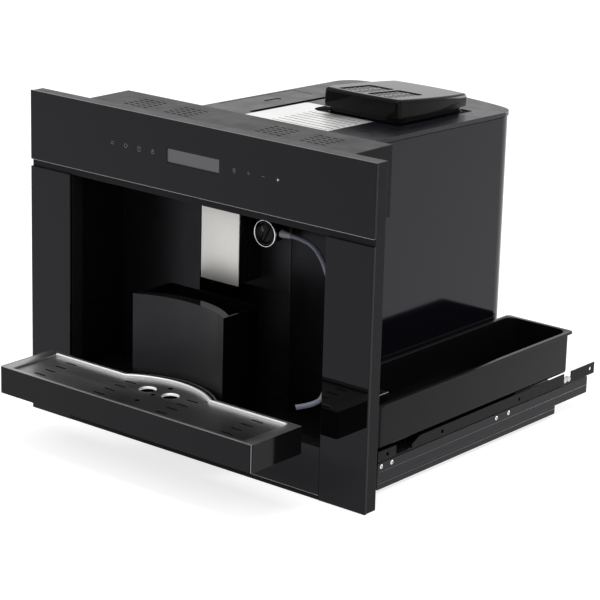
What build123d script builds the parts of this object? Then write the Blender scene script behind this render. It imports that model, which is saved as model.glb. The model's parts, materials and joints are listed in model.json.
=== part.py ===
"""Built-in coffee machine on a pull-out frame, with its drip tray drawn forward.

x runs to the right, y to the rear and z up, in millimetres.  The origin is the centre of the four
floor screws, on the floor of the furniture niche.  Depths are given behind the front glass and
heights above the bottom edge of the fascia; back() and up() turn them into y and z.
"""
import os
from math import acos, atan, cos, degrees, dist, pi, radians, sin, tan

from build123d import *

# ---- reference --------------------------------------------------------------------------------
screw_depth = 274.0  # centre of the floor screws behind the front glass
floor_height = 5.0  # niche floor above the fascia's bottom edge
seat_gap = 0.3  # loose pieces rest this far from their seats
slide_gap = 0.5  # running gap beside a sliding piece
sheet = 1.5  # pressed steel
edge_break = 0.8  # broken edges of glass and covers

# ---- fascia -----------------------------------------------------------------------------------
fascia_width = 595.0
fascia_height = 455.0
fascia_depth = 23.0
glass = 4.0  # glass thickness
glue_gap = 0.2  # between the glass and its frame
joint_gap = 0.4  # open joint between two panes
frame_inset = 0.5  # the frame stays this far inside the glass
frame_wall = 2.0
frame_front = glass + glue_gap
sill_height = 4.8  # the frame shows below the lower glass
trim_height = 2.0
control_tall = 95.0  # height of the control glass
control_low = fascia_height - control_tall
window_half = 222.5  # half width of the cup niche
window_low = 72.0
window_high = control_low - 10.3
display_half = 45.5
display_tall = 19.0
display_high = fascia_height - 38.0
display_low = display_high - display_tall
display_fit = 0.3
display_rim = 3.5  # hidden edge behind the glass
display_thick = 12.0
mark_near = 70.5  # first touch mark beside the display
mark_pitch = 24.2
mark_radius = 4.0
mark_line = 0.8
mark_print = 0.15
board_depth = 34.0
board_half = 190.0
board_sheet = 1.6
chip_half = 12.0

# ---- cup niche --------------------------------------------------------------------------------
niche_depth = 107.0
liner_wall = 2.0
niche_floor = window_low + 0.7
cover_half = 80.5  # half width of the brew cover and of the bay under it
bay_top = 222.0
bay_depth = niche_depth + 81.0
cover_bulge = 4.0
leg_x = 110.0

# ---- drip tray, drawn forward -----------------------------------------------------------------
tray_draw = 133.0
tray_half = window_half - 0.9
tray_depth = 97.0
tray_base = niche_floor + seat_gap
tray_top = 110.0
tray_wall = 2.5
tray_ledge = 2.0  # the grille rests on it
bulge_half = 79.0
bulge_depth = 29.5
grille_plate = 1.6
grille_drop = 2.6  # grille surface below the tray's rim
lip_height = 3.2
slot_middle = 48.0  # middle of the slot groups behind the tray's front
slot_pitch = 19.5
slot_width = 3.4
slot_length = 20.0
group_pitch = 110.0
cup_hole_x = 20.0
cup_hole_at = 73.0  # behind the tray's front
cup_hole = 12.0
collar_wall = 1.2
collar_drop = 2.2
drain_at = (95.0, 61.0, 32.0)
drain_radius = 3.6
lip_inset = 3.0
lip_wide = 4.2
lip_ends = 18.0  # plain border beside both ends of the lip
shelf_long = 85.0  # ledge under the grounds container

# ---- grounds container ------------------------------------------------------------------------
grounds_half = 79.6
grounds_height = 218.5
grounds_depth = 74.0
grounds_hollow = 21.5  # how far its front curves in
grounds_wall = 2.5
front_cap = 17.0  # thickness of its front at the middle
cap_corner = 13.0

# ---- spout ------------------------------------------------------------------------------------
spout_depth = 55.5  # front of its steel plate
plate_half = 33.0
plate_tall = 101.0
plate_high = window_high - 15.2
plate_low = plate_high - plate_tall
plate_sheet = 2.0
block_inset = 1.5
block_back = spout_depth + 21.0
guide_gap = 1.5
tongue_half = 8.0
tongue_depth = 16.0
nozzle_x = 17.3
nozzle_depth = spout_depth + 8.5
nozzle_radius = 5.0
nozzle_bore = 2.2
nozzle_low = plate_low - 6.0

# ---- milk frother and hose --------------------------------------------------------------------
knob_x = 60.0
knob_drop = 42.0  # centre of the knob below the niche's ceiling
knob_height = window_high - knob_drop
knob_front = niche_depth - 32.0
knob_radius = 16.2
ring_radius = 18.8
ring_wire = 2.4
knob_thick = 6.0
frother_radius = 14.5
nipple_radius = 2.6
nipple_end = knob_x + 19.0
sleeve_radius = 5.2
sleeve_end = nipple_end + 17.5
hose_axis_depth = knob_front + 11.0
hose_axis_height = knob_height + 1.5
hose_diameter = 7.0
hose_reach = 121.9  # how far it swings to the right
hose_end_depth = 4.4
hose_end_height = tray_top + 5.4  # the closing tray passes under it

# ---- vent shroud ------------------------------------------------------------------------------
shroud_half = 230.0
shroud_front = 6.5  # just behind the face of the fascia's frame
shroud_back = niche_depth + 13.0
shroud_low = window_high + 4.0
shroud_top = fascia_height - 7.0
vent_x = (-153.0, -79.0, 79.0, 153.0)
vent_depth = 74.0
vent_pitch_x = 11.5
vent_pitch_y = 9.5
vent_size = (8.5, 2.8)

# ---- machine body -----------------------------------------------------------------------------
body_half = 150.0
body_back = 505.0
body_bulge = 28.0
body_corner = 36.0
body_wall = 3.0
body_front = niche_depth + liner_wall + seat_gap
top_height = fascia_height - 21.5  # top cover at the front glass, extended
top_fall = 0.024
cover_thick = 6.0
cover_over = 1.2
body_joint = 1.2  # shadow joint under the top cover
rear_vent = (40.0, 150.0)  # middle of the slots in the rear wall
rear_vent_pitch = (13.0, 22.0)
rear_vent_size = (16.0, 4.0)
inlet_x = -96.0
inlet_height = 76.0
inlet_half = (13.8, 10.0)
inlet_wall = 1.8
inlet_flange_half = (18.0, 13.0)
inlet_long = 22.0

# ---- top of the body --------------------------------------------------------------------------
rack_half = 72.0
rack_front = 124.0
rack_back = 283.0
rack_step_x = -40.0
rack_step_back = 318.0
rack_thick = 2.0
rack_fit = 0.6
rack_corner = 20.0  # hollow corner round the bean lid
flute_pitch = 13.0
flute_wide = 1.8
flute_deep = 0.9
flute_left = -28.0  # the flutes start here and run to the right
hatch_left = -146.0
hatch_right = -108.0
hatch_front = 217.0
hatch_back = 373.0
hatch_thick = 3.0
hatch_fit = 0.8
hatch_drop = 0.8  # room under the hatch for its turning edge
hinge_inset = 1.5
hinge_pin = 0.9
pin_length = 3.0
groove_front = 205.0
groove_width = 9.0
chute_long = 90.0
chute_rim = 4.0
chute_fall = 103.5  # lower end of the powder chute below the top
chute_shift = 46.0
chute_foot = (34.0, 44.0)
lid_left = -26.0
lid_right = 116.0
lid_front = 284.0
lid_back = 455.0
lid_corner = 26.0
lid_bow = 6.0
cap_round = 8.0
pane_front = 12.0  # the panes start this far behind the lid's front
lid_high = fascia_height + 6.5
lid_fall = 0.085
lid_wall = 3.0
plinth_inset = 7.0
plinth_height = 8.0
hopper_wall = 2.5
hopper_low = top_height - 81.5
neck_radius = 20.0
neck_tall = 14.0

# ---- water tank -------------------------------------------------------------------------------
tank_left = 152.0
tank_right = 266.0
tank_front = 65.0
tank_step = 115.0
tank_nose = 230.0
tank_back = 515.0
tank_base = 58.0
tank_rim = 120.0
rim_width = 4.5
rim_thick = 3.0
tank_wall = 2.5
tank_corner = 18.0  # inside
tank_edge = 7.0  # outside
valve_back = 60.0
valve_radius = 12.0

# ---- pull-out frame ---------------------------------------------------------------------------
rail_face = 264.0  # outer face of the slides
rail_front = 69.0
foot_back = 479.0
foot_width = 28.0
rail_low = 17.0
rail_high = 41.0
rail_back = 560.0
rail_depth = 12.0
member_depth = 7.8
screw_x = 248.0
screw_half_span = 175.0
screw_hole = 2.75
pan_base = 42.5
pan_back = 500.0
flange_x = 251.5
side_high = 57.0
side_back = 577.0
side_rise = 2.0
front_notch = (107.0, 131.0, 159.0)  # low stretch of the pan's side walls
roller_notch = (499.0, 517.0)
side_holes = ((89.0, 50.0), (139.0, 46.5), (208.0, 49.5), (387.0, 49.5))
side_hole_radius = 2.9
rib_at = (150.0, 400.0)
bar_width = 26.0
rail_screw_at = (76.0, 98.0, 333.0, 362.0)
rail_screw_radius = 3.0
rail_screw_head = 1.4
roller_radius = 4.2
roller_wide = 6.0

# ---- hidden units -----------------------------------------------------------------------------
grinder_radius = 34.0
grinder_low = hopper_low - 52.0
burr_size = 24.0
motor_rise = 70.0
brew_x = -4.0
brew_depth = 245.0
brew_low = 150.0
brew_tall = 110.0
brew_radius = 33.0
brew_wall = 7.0
boiler_x = -98.0
boiler_half = 24.0
boiler_front = 330.0
boiler_long = 90.0
boiler_rise = 30.0
boiler_tall = 80.0
pump_x = 104.0
pump_front = 236.0
pump_radius = 17.0
pump_long = 60.0
pump_rise = 24.0


def back(depth):
    """y of a point this far behind the front glass."""
    return depth - screw_depth


def up(height):
    """z of a point this far above the fascia's bottom edge."""
    return height - floor_height


def block(xs, depths, heights, mode=Mode.ADD):
    """Box between two x, two depths and two heights."""
    middle = ((xs[0] + xs[1]) / 2, back((depths[0] + depths[1]) / 2), up((heights[0] + heights[1]) / 2))
    with Locations(middle):
        Box(abs(xs[1] - xs[0]), abs(depths[1] - depths[0]), abs(heights[1] - heights[0]), mode=mode)


def rod(x, depth, height, radius, length, axis="y", mode=Mode.ADD):
    """Cylinder that starts at a point and runs along +x, +y or +z."""
    turn = {"x": (0, 90, 0), "y": (-90, 0, 0), "z": (0, 0, 0)}[axis]
    with Locations(Location((x, back(depth), up(height)), turn)):
        Cylinder(radius, length, align=(Align.CENTER, Align.CENTER, Align.MIN), mode=mode)


def facing(depth):
    """Upright plane parallel to the front glass; its normal points to the front."""
    return Plane(origin=(0, back(depth), up(0)), x_dir=(1, 0, 0), z_dir=(0, -1, 0))


def level(height):
    """Horizontal plane whose local y is a depth behind the glass."""
    return Plane(origin=(0, back(0), up(height)))


def sloped(drop):
    """Plane of the falling top surface, lowered by drop."""
    return Plane(origin=(0, back(0), up(top_height - drop)), x_dir=(1, 0, 0), z_dir=(0, top_fall, 1))


def top_at(depth):
    """Height of the top cover at a depth."""
    return top_height - top_fall * depth


def save(piece, name):
    """Label a finished piece and write it."""
    piece.part.label = name
    export_step(piece.part, f"parts/{name}.step")
    print(f"{name}: {piece.part.volume / 1000:.1f} cm3")


os.makedirs("parts", exist_ok=True)
half_width = fascia_width / 2

# ================================ fascia ========================================================
with BuildPart() as fascia_frame:
    with BuildSketch(facing(fascia_depth)):
        with Locations((0, fascia_height / 2)):
            Rectangle(fascia_width - 2 * frame_inset, fascia_height - 2 * frame_inset)
        with Locations((0, (window_low + window_high) / 2)):
            Rectangle(2 * window_half, window_high - window_low, mode=Mode.SUBTRACT)
    extrude(amount=fascia_depth - frame_front)
    with BuildSketch(facing(fascia_depth)):
        with Locations((0, fascia_height / 2)):
            Rectangle(
                fascia_width - 2 * (frame_inset + frame_wall),
                fascia_height - 2 * (frame_inset + frame_wall),
            )
        with Locations((0, (window_low + window_high) / 2)):
            Rectangle(
                2 * (window_half + frame_wall),
                window_high - window_low + 2 * frame_wall,
                mode=Mode.SUBTRACT,
            )
    extrude(amount=fascia_depth - frame_front - frame_wall, mode=Mode.SUBTRACT)
    pocket = display_rim + slide_gap
    block(
        (-display_half - pocket, display_half + pocket),
        (glass, frame_front + 2 * frame_wall),
        (display_low - pocket, display_high + pocket),
        Mode.SUBTRACT,
    )
    block((-window_half, window_half), (frame_inset, frame_front + glue_gap), (frame_inset, sill_height))
save(fascia_frame, "fascia_frame")

with BuildPart() as control_glass:
    with BuildSketch(facing(glass)):
        with Locations((0, (control_low + fascia_height) / 2)):
            Rectangle(fascia_width, fascia_height - control_low)
        with Locations((0, (display_low + display_high) / 2)):
            Rectangle(
                2 * (display_half + display_fit),
                display_high - display_low + 2 * display_fit,
                mode=Mode.SUBTRACT,
            )
    extrude(amount=glass)
    chamfer(control_glass.faces().sort_by(Axis.Y)[0].outer_wire().edges(), edge_break)
save(control_glass, "control_glass")

with BuildPart() as pillar_glass:
    for side in (-1, 1):
        with BuildSketch(facing(glass)):
            with Locations((side * (window_half + half_width) / 2, window_high / 2)):
                Rectangle(half_width - window_half, window_high)
        extrude(amount=glass)
    chamfer(pillar_glass.faces().filter_by(Axis.Y).group_by(Axis.Y)[0].edges(), edge_break)
save(pillar_glass, "pillar_glass")

with BuildPart() as lower_glass:
    block((-window_half + joint_gap, window_half - joint_gap), (0, glass), (sill_height + trim_height, window_low))
    chamfer(lower_glass.faces().sort_by(Axis.Y)[0].edges(), edge_break)
save(lower_glass, "lower_glass")

with BuildPart() as trim_strips:
    trim_depth = (joint_gap, frame_front)
    trim_half = half_width - frame_inset - frame_wall / 10
    block((-trim_half, trim_half), trim_depth, (control_low - trim_height, control_low))
    trim_half = window_half - joint_gap
    block((-trim_half, trim_half), trim_depth, (sill_height, sill_height + trim_height - glue_gap))
save(trim_strips, "trim_strips")

with BuildPart() as display:
    block((-display_half, display_half), (glue_gap, glass + 1), (display_low, display_high))
    block(
        (-display_half - display_rim, display_half + display_rim),
        (frame_front, glass + display_thick),
        (display_low - display_rim, display_high + display_rim),
    )
    block(
        (-0.75 * display_half, 0.75 * display_half),
        (glass + display_thick, board_depth - seat_gap),
        (display_low + 0.3 * display_tall, display_low + 0.55 * display_tall),
    )
save(display, "display")

mark_height = (display_low + display_high) / 2
mark_steps = [mark_near + step * mark_pitch for step in range(4)]
with BuildPart() as touch_marks:
    for mark_x in [-place for place in mark_steps] + mark_steps[:3]:
        with BuildSketch(facing(0)):
            with Locations((mark_x, mark_height)):
                Circle(mark_radius)
                Circle(mark_radius - mark_line, mode=Mode.SUBTRACT)
        extrude(amount=mark_print)
    with BuildSketch(facing(0)):
        with Locations((mark_steps[3], mark_height)):
            RegularPolygon(mark_radius, 3)
    extrude(amount=mark_print)
save(touch_marks, "touch_marks")

with BuildPart() as control_board:
    board_low = window_high + 14
    board_high = shroud_top - 8
    board_middle = (board_low + board_high) / 2
    board_rear = board_depth + board_sheet
    block((-board_half, board_half), (board_depth, board_rear), (board_low, board_high))
    for board_x in (-board_half + 10, board_half - 10):
        for stud_height in (board_low + 8, board_high - 25):
            rod(board_x, frame_front + frame_wall, stud_height, 3.0, board_depth - frame_front - frame_wall)
    for chip_share in (-0.68, -0.32, 0.47):
        chip_x = chip_share * board_half
        block(
            (chip_x - chip_half, chip_x + chip_half),
            (board_rear, board_rear + 3),
            (board_middle - chip_half, board_middle + chip_half),
        )
    block((-2.5 * chip_half, 3 * chip_half), (board_rear, board_rear + chip_half), (board_low + 8, board_low + 20))
save(control_board, "control_board")

# ================================ vent shroud ===================================================
with BuildPart() as vent_shroud:
    block((-shroud_half, shroud_half), (shroud_front, shroud_back), (shroud_low, shroud_top))
    fillet(vent_shroud.edges().filter_by(Axis.Y).group_by(Axis.Z)[-1], 2.0)
    block(
        (-shroud_half + sheet, shroud_half - sheet),
        (shroud_front - 1, shroud_back - sheet),
        (shroud_low - 1, shroud_top - sheet),
        Mode.SUBTRACT,
    )
    with BuildSketch(level(shroud_top - 2 * sheet)):
        for group_x in vent_x:
            with Locations((group_x, vent_depth)):
                with GridLocations(vent_pitch_x, vent_pitch_y, 4, 5):
                    SlotOverall(*vent_size)
    extrude(amount=3 * sheet, mode=Mode.SUBTRACT)
    block(
        (-body_half - cover_over - 0.6, body_half + cover_over + 0.6),
        (shroud_back - 3 * sheet, shroud_back + 1),
        (window_high, top_at(shroud_back) + 0.8),
        Mode.SUBTRACT,
    )
save(vent_shroud, "vent_shroud")

# ================================ cup niche =====================================================
liner_half = window_half + liner_wall
with BuildPart() as niche_liner:
    block(
        (-liner_half, liner_half),
        (fascia_depth, niche_depth + liner_wall),
        (niche_floor - liner_wall, window_high + liner_wall),
    )
    block(
        (-window_half, window_half),
        (fascia_depth - 1, niche_depth),
        (niche_floor, window_high),
        Mode.SUBTRACT,
    )
    block(
        (-cover_half - liner_wall, cover_half + liner_wall),
        (niche_depth, bay_depth),
        (niche_floor - liner_wall, bay_top + liner_wall),
    )
    block(
        (-cover_half, cover_half),
        (niche_depth - 1, bay_depth - liner_wall),
        (niche_floor, bay_top),
        Mode.SUBTRACT,
    )
    for side in (-1, 1):
        block(
            (side * leg_x, side * (leg_x + 4)),
            (fascia_depth + 4, niche_depth - 4),
            (pan_base + sheet, niche_floor - liner_wall),
        )
save(niche_liner, "niche_liner")

with BuildPart() as brew_cover:
    with BuildSketch(level(bay_top + 0.6)):
        with BuildLine():
            cover_base = Line((-cover_half + 0.3, niche_depth - 0.3), (cover_half - 0.3, niche_depth - 0.3))
            ThreePointArc(cover_base @ 0, (0, niche_depth - cover_bulge), cover_base @ 1)
        make_face()
    extrude(amount=window_high - bay_top - 1.2)
save(brew_cover, "brew_cover")

# ================================ spout =========================================================
block_half = plate_half - block_inset
guide_front = block_back + guide_gap
with BuildPart() as spout_guide:
    block(
        (-block_half, block_half),
        (guide_front, niche_depth - cover_bulge - seat_gap),
        (plate_low + 2.5, window_high - 0.6),
    )
    block(
        (-tongue_half - slide_gap, tongue_half + slide_gap),
        (guide_front - 1, block_back + tongue_depth + slide_gap),
        (plate_low, window_high),
        Mode.SUBTRACT,
    )
save(spout_guide, "spout_guide")

with BuildPart() as spout_block:
    block((-block_half, block_half), (spout_depth + plate_sheet, block_back), (plate_low + 2.5, plate_high - 1.5))
    fillet(spout_block.edges().filter_by(Axis.Z).group_by(Axis.Y)[-1], 2.0)
    block((-tongue_half, tongue_half), (block_back - 1, block_back + tongue_depth), (plate_low + 6, plate_high - 4))
    for side in (-1, 1):
        rod(side * nozzle_x, nozzle_depth, plate_low, 2.2, 30, "z", Mode.SUBTRACT)
save(spout_block, "spout_block")

with BuildPart() as spout_plate:
    block((-plate_half, plate_half), (spout_depth, spout_depth + plate_sheet), (plate_low, plate_high))
    fillet(spout_plate.edges().filter_by(Axis.Y), 1.5)
save(spout_plate, "spout_plate")

with BuildPart() as spout_nozzles:
    for side in (-1, 1):
        rod(side * nozzle_x, nozzle_depth, nozzle_low, nozzle_radius, plate_low + 2.5 - nozzle_low, "z")
        rod(side * nozzle_x, nozzle_depth, nozzle_low - 1, nozzle_bore, 30, "z", Mode.SUBTRACT)
    chamfer(spout_nozzles.edges().filter_by(GeomType.CIRCLE).group_by(Axis.Z)[0], 0.6)
save(spout_nozzles, "spout_nozzles")

# ================================ milk frother and hose =========================================
knob_back = knob_front + knob_thick
with BuildPart() as frother_body:
    rod(
        knob_x,
        knob_back + seat_gap,
        knob_height,
        frother_radius,
        niche_depth - cover_bulge * (1 - (knob_x / cover_half) ** 2) - knob_back - 2 * seat_gap - 0.9,
    )
    rod(knob_x, knob_back - 2.5, knob_height, 3.0, 4.0)
    rod(knob_x, hose_axis_depth, hose_axis_height, nipple_radius, nipple_end - knob_x, "x")
save(frother_body, "frother_body")

with BuildPart() as frother_knob:
    rod(knob_x, knob_front, knob_height, knob_radius, knob_thick)
    with BuildSketch(facing(knob_front)):
        with Locations((knob_x, knob_height)):
            Circle(knob_radius - 3.2)
    extrude(amount=-2.2, taper=18, mode=Mode.SUBTRACT)
    with BuildSketch(facing(knob_front + 2.3)):
        with Locations(Location((knob_x, knob_height), 62)):
            Rectangle(2 * knob_radius - 7.5, 4.0)
    extrude(amount=2.0)
    rod(knob_x, knob_back - 3, knob_height, 3.0 + slide_gap / 2, 4, "y", Mode.SUBTRACT)
save(frother_knob, "frother_knob")

with BuildPart() as knob_ring:
    with BuildSketch(Plane(origin=(knob_x, back(knob_front + 1.5), up(knob_height)), x_dir=(1, 0, 0), z_dir=(0, 0, 1))):
        with Locations((ring_radius - ring_wire / 2, 0)):
            Ellipse(ring_wire / 2, 2.0)
    revolve(axis=Axis((knob_x, back(0), up(knob_height)), (0, 1, 0)))
save(knob_ring, "knob_ring")

with BuildPart() as hose_sleeve:
    rod(nipple_end, hose_axis_depth, hose_axis_height, sleeve_radius, sleeve_end - nipple_end, "x")
    fillet(hose_sleeve.edges().filter_by(GeomType.CIRCLE), 1.2)
save(hose_sleeve, "hose_sleeve")

# route of the hose: its shares of the reach to the right, of the run to the front and of the fall
hose_route = (
    (0.0, 0.0, 0.0),
    (0.185, 0.012, 0.006),
    (0.414, 0.123, 0.048),
    (0.669, 0.343, 0.171),
    (0.882, 0.588, 0.378),
    (0.989, 0.784, 0.605),
    (1.0, 0.907, 0.811),
    (0.898, 0.963, 0.940),
    (0.697, 1.0, 1.0),
)
hose_run = hose_axis_depth - hose_end_depth
hose_fall = hose_axis_height - hose_end_height
hose_points = [
    Vector(
        sleeve_end + reach * hose_reach,
        back(hose_axis_depth - run * hose_run),
        up(hose_axis_height - fall * hose_fall),
    )
    for reach, run, fall in hose_route
]
hose_radii = []
for before, point, after in zip(hose_points, hose_points[1:], hose_points[2:]):
    turn = radians((point - before).get_angle(after - point))
    run = min((point - before).length, (after - point).length)
    hose_radii.append(0.45 * run / tan(turn / 2))
print("hose radii:", [round(r, 1) for r in hose_radii])
with BuildPart() as milk_hose:
    with BuildLine() as hose_line:
        FilletPolyline(*hose_points, radius=hose_radii)
    hose_length = hose_line.wire().length
    with BuildSketch(Plane(origin=hose_points[0], z_dir=hose_line.wire() % 0)):
        Circle(hose_diameter / 2)
    sweep()
tube_volume = pi * hose_diameter**2 / 4 * hose_length
print(f"hose length {hose_length:.1f}, volume ratio {milk_hose.part.volume / tube_volume:.4f}")
save(milk_hose, "milk_hose")


# ================================ drip tray =====================================================
def tray_outline(inset, bulge_in):
    """Tray seen from above: straight front and sides, a round bulge in the rear edge."""
    front = inset - tray_draw
    rear = tray_depth - tray_draw - inset
    side = tray_half - inset
    foot = bulge_half - inset * 0.4
    crest = rear + bulge_depth
    Polyline((-foot, rear), (-side, rear), (-side, front), (side, front), (side, rear), (foot, rear))
    ThreePointArc((foot, rear), (0, crest - bulge_in), (-foot, rear))


with BuildPart() as drip_tray:
    with BuildSketch(level(tray_base)):
        with BuildLine():
            tray_outline(0, 0)
        make_face()
    extrude(amount=tray_top - tray_base)
    fillet(drip_tray.edges().filter_by(Axis.Z).group_by(Axis.Y)[0], 3.0)
    with BuildSketch(level(tray_base + 3)):
        with BuildLine():
            tray_outline(tray_wall, 0.2)
        make_face()
    extrude(amount=tray_top, mode=Mode.SUBTRACT)
    with BuildSketch(level(tray_top - grille_drop - grille_plate - seat_gap)):
        with BuildLine():
            tray_outline(tray_wall, 0.2)
        make_face()
        with BuildLine():
            tray_outline(tray_wall + tray_ledge, 0.3)
        make_face(mode=Mode.SUBTRACT)
    extrude(amount=-tray_ledge)
    rear_shelf = tray_depth - tray_draw
    block((-bulge_half + 4, bulge_half - 4), (rear_shelf - 1, rear_shelf + shelf_long), (tray_base, tray_base + 3))
save(drip_tray, "drip_tray")

shelf_top = tray_base + 3
grille_inset = tray_wall + 0.5
with BuildPart() as drip_grille:
    grille_top = tray_top - grille_drop
    with BuildSketch(level(grille_top - grille_plate)):
        with BuildLine():
            tray_outline(grille_inset, 0.4)
        make_face()
    extrude(amount=grille_plate)
    with BuildSketch(level(grille_top)):
        with BuildLine():
            tray_outline(grille_inset + lip_inset, 4.0)
        make_face()
        with BuildLine():
            tray_outline(grille_inset + lip_inset + lip_wide, 4.2)
        make_face(mode=Mode.SUBTRACT)
        with Locations((0, tray_depth - tray_draw + bulge_depth)):
            Rectangle(2 * (tray_half - lip_ends), 2 * (bulge_depth + lip_ends), mode=Mode.INTERSECT)
    extrude(amount=lip_height)
    with BuildSketch(level(grille_top - grille_plate)):
        with Locations((0, cup_hole_at - tray_draw)):
            with GridLocations(2 * cup_hole_x, 1, 2, 1):
                Circle(cup_hole + collar_wall)
    extrude(amount=-collar_drop)
    with BuildSketch(level(grille_top - grille_plate - collar_drop - 1)):
        with Locations((0, slot_middle - tray_draw)):
            with GridLocations(group_pitch, slot_pitch, 4, 4):
                SlotOverall(slot_length, slot_width)
        for side in (-1, 1):
            with Locations((side * cup_hole_x, cup_hole_at - tray_draw)):
                Circle(cup_hole)
        for hole_depth in drain_at:
            with Locations((0, hole_depth - tray_draw)):
                Circle(drain_radius)
    extrude(amount=3 * grille_plate + collar_drop, mode=Mode.SUBTRACT)
save(drip_grille, "drip_grille")

# ================================ grounds container =============================================
grounds_front = niche_depth - tray_draw  # front corners, flush with the niche's rear wall when home
with BuildPart() as grounds_container:
    with BuildSketch(level(shelf_top + seat_gap)):
        with BuildLine():
            grounds_sides = Polyline(
                (-grounds_half, grounds_front),
                (-grounds_half, grounds_front + grounds_depth),
                (grounds_half, grounds_front + grounds_depth),
                (grounds_half, grounds_front),
            )
            ThreePointArc(
                (grounds_half, grounds_front),
                (0, grounds_front + grounds_hollow),
                (-grounds_half, grounds_front),
            )
        make_face()
    extrude(amount=grounds_height - shelf_top - seat_gap)
    fillet(grounds_container.edges().filter_by(Axis.Z).group_by(Axis.Y)[-1], 8.0)
    with BuildSketch(level(shelf_top + seat_gap + grounds_wall)):
        with BuildLine():
            Polyline(
                (-grounds_half + grounds_wall, grounds_front + cap_corner),
                (-grounds_half + grounds_wall, grounds_front + grounds_depth - grounds_wall),
                (grounds_half - grounds_wall, grounds_front + grounds_depth - grounds_wall),
                (grounds_half - grounds_wall, grounds_front + cap_corner),
            )
            ThreePointArc(
                (grounds_half - grounds_wall, grounds_front + cap_corner),
                (0, grounds_front + grounds_hollow + front_cap),
                (-grounds_half + grounds_wall, grounds_front + cap_corner),
            )
        make_face()
    extrude(amount=grounds_height, mode=Mode.SUBTRACT)
save(grounds_container, "grounds_container")


# ================================ machine body ==================================================
def body_outline(inset):
    """Body seen from above, from its front to its bulging rear."""
    side = body_half - inset
    Polyline((-side, body_back - inset), (-side, body_front + inset), (side, body_front + inset), (side, body_back - inset))
    ThreePointArc((side, body_back - inset), (0, body_back + body_bulge - inset), (-side, body_back - inset))


with BuildPart() as body_shell:
    with BuildSketch(level(pan_base + sheet)) as shell_plan:
        with BuildLine():
            body_outline(0)
        make_face()
        fillet(shell_plan.vertices().group_by(Axis.Y)[-1], body_corner)
    extrude(amount=top_height)
    with BuildSketch(level(pan_base + sheet + body_wall)) as shell_hollow:
        with BuildLine():
            body_outline(body_wall)
        make_face()
        fillet(shell_hollow.vertices().group_by(Axis.Y)[-1], body_corner - body_wall)
    extrude(amount=top_height, mode=Mode.SUBTRACT)
    split(bisect_by=sloped(cover_thick + body_joint), keep=Keep.BOTTOM)
    block(
        (-cover_half - liner_wall - seat_gap, cover_half + liner_wall + seat_gap),
        (body_front - 1, body_front + body_wall + 1),
        (niche_floor - liner_wall - seat_gap, bay_top + liner_wall + seat_gap),
        Mode.SUBTRACT,
    )
    block(
        (inlet_x - inlet_half[0] - 0.3, inlet_x + inlet_half[0] + 0.3),
        (body_back - 12, body_back + body_bulge),
        (inlet_height - inlet_half[1] - 0.3, inlet_height + inlet_half[1] + 0.3),
        Mode.SUBTRACT,
    )
    with BuildSketch(facing(body_back + body_bulge + 2)):
        with Locations(rear_vent):
            with GridLocations(*rear_vent_pitch, 7, 5):
                SlotOverall(*rear_vent_size, rotation=90)
    extrude(amount=24, mode=Mode.SUBTRACT)
save(body_shell, "body_shell")

hopper_x = (lid_left + lid_right) / 2
hopper_depth = (lid_front + lid_back) / 2
hopper_half = (lid_right - lid_left) / 2 - 17
hopper_long = (lid_back - lid_front) / 2 - 20
chute_x = (hatch_left + hatch_right) / 2
chute_depth = (hatch_front + hatch_back) / 2
chute_half = (hatch_right - hatch_left) / 2 - 5
chute_low = top_height - chute_fall


def rack_outline(grow):
    """Cup rack seen from above, stepped round the corner of the bean lid."""
    Polyline(
        (-rack_half - grow, rack_front - grow),
        (rack_half + grow, rack_front - grow),
        (rack_half + grow, rack_back + grow),
        (rack_step_x + grow, rack_back + grow),
        (rack_step_x + grow, rack_step_back + grow),
        (-rack_half - grow, rack_step_back + grow),
        (-rack_half - grow, rack_front - grow),
    )


with BuildPart() as top_cover:
    with BuildSketch(sloped(cover_thick)) as cover_plan:
        with BuildLine():
            body_outline(-cover_over)
        make_face()
        fillet(cover_plan.vertices().group_by(Axis.Y)[-1], body_corner + cover_over)
    extrude(amount=cover_thick)
    chamfer(top_cover.faces().sort_by(Axis.Z)[-1].outer_wire().edges(), 0.8)
    with BuildSketch(sloped(cover_thick + body_joint)) as cover_rebate:
        with BuildLine():
            body_outline(body_wall + 0.4)
        make_face()
        fillet(cover_rebate.vertices().group_by(Axis.Y)[-1], body_corner - body_wall - 0.4)
    extrude(amount=body_joint)
    with BuildSketch(sloped(rack_thick)) as rack_pocket:
        with BuildLine():
            rack_outline(rack_fit)
        make_face()
        fillet(rack_pocket.vertices().sort_by_distance((rack_step_x, rack_back))[0:1], rack_corner - rack_fit)
    extrude(amount=rack_thick + 1, mode=Mode.SUBTRACT)
    with BuildSketch(sloped(cover_thick + body_joint + 1)):
        with Locations((hopper_x, hopper_depth)):
            RectangleRounded(2 * hopper_half, 2 * hopper_long, 14)
        with Locations((chute_x, chute_depth)):
            RectangleRounded(2 * chute_half, chute_long, 5)
    extrude(amount=cover_thick + body_joint + 2, mode=Mode.SUBTRACT)
    with BuildSketch(sloped(hatch_thick + hatch_drop)):
        with Locations((chute_x, chute_depth)):
            Rectangle(hatch_right - hatch_left + 2 * hatch_fit, hatch_back - hatch_front + 2 * hatch_fit)
    extrude(amount=hatch_thick + hatch_drop + 1, mode=Mode.SUBTRACT)
    for pin_start in (hatch_front - pin_length - 0.4, hatch_back):
        pin_height = top_at(pin_start + pin_length / 2) - hinge_inset
        rod(hatch_left + hinge_inset, pin_start, pin_height, hinge_pin + 0.2, pin_length + 0.4, "y", Mode.SUBTRACT)
    with BuildSketch(sloped(1.2)):
        with Locations((-rack_half - 6.5, (groove_front + lid_back) / 2)):
            Rectangle(groove_width, lid_back - groove_front)
    extrude(amount=2, mode=Mode.SUBTRACT)
save(top_cover, "top_cover")

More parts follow.
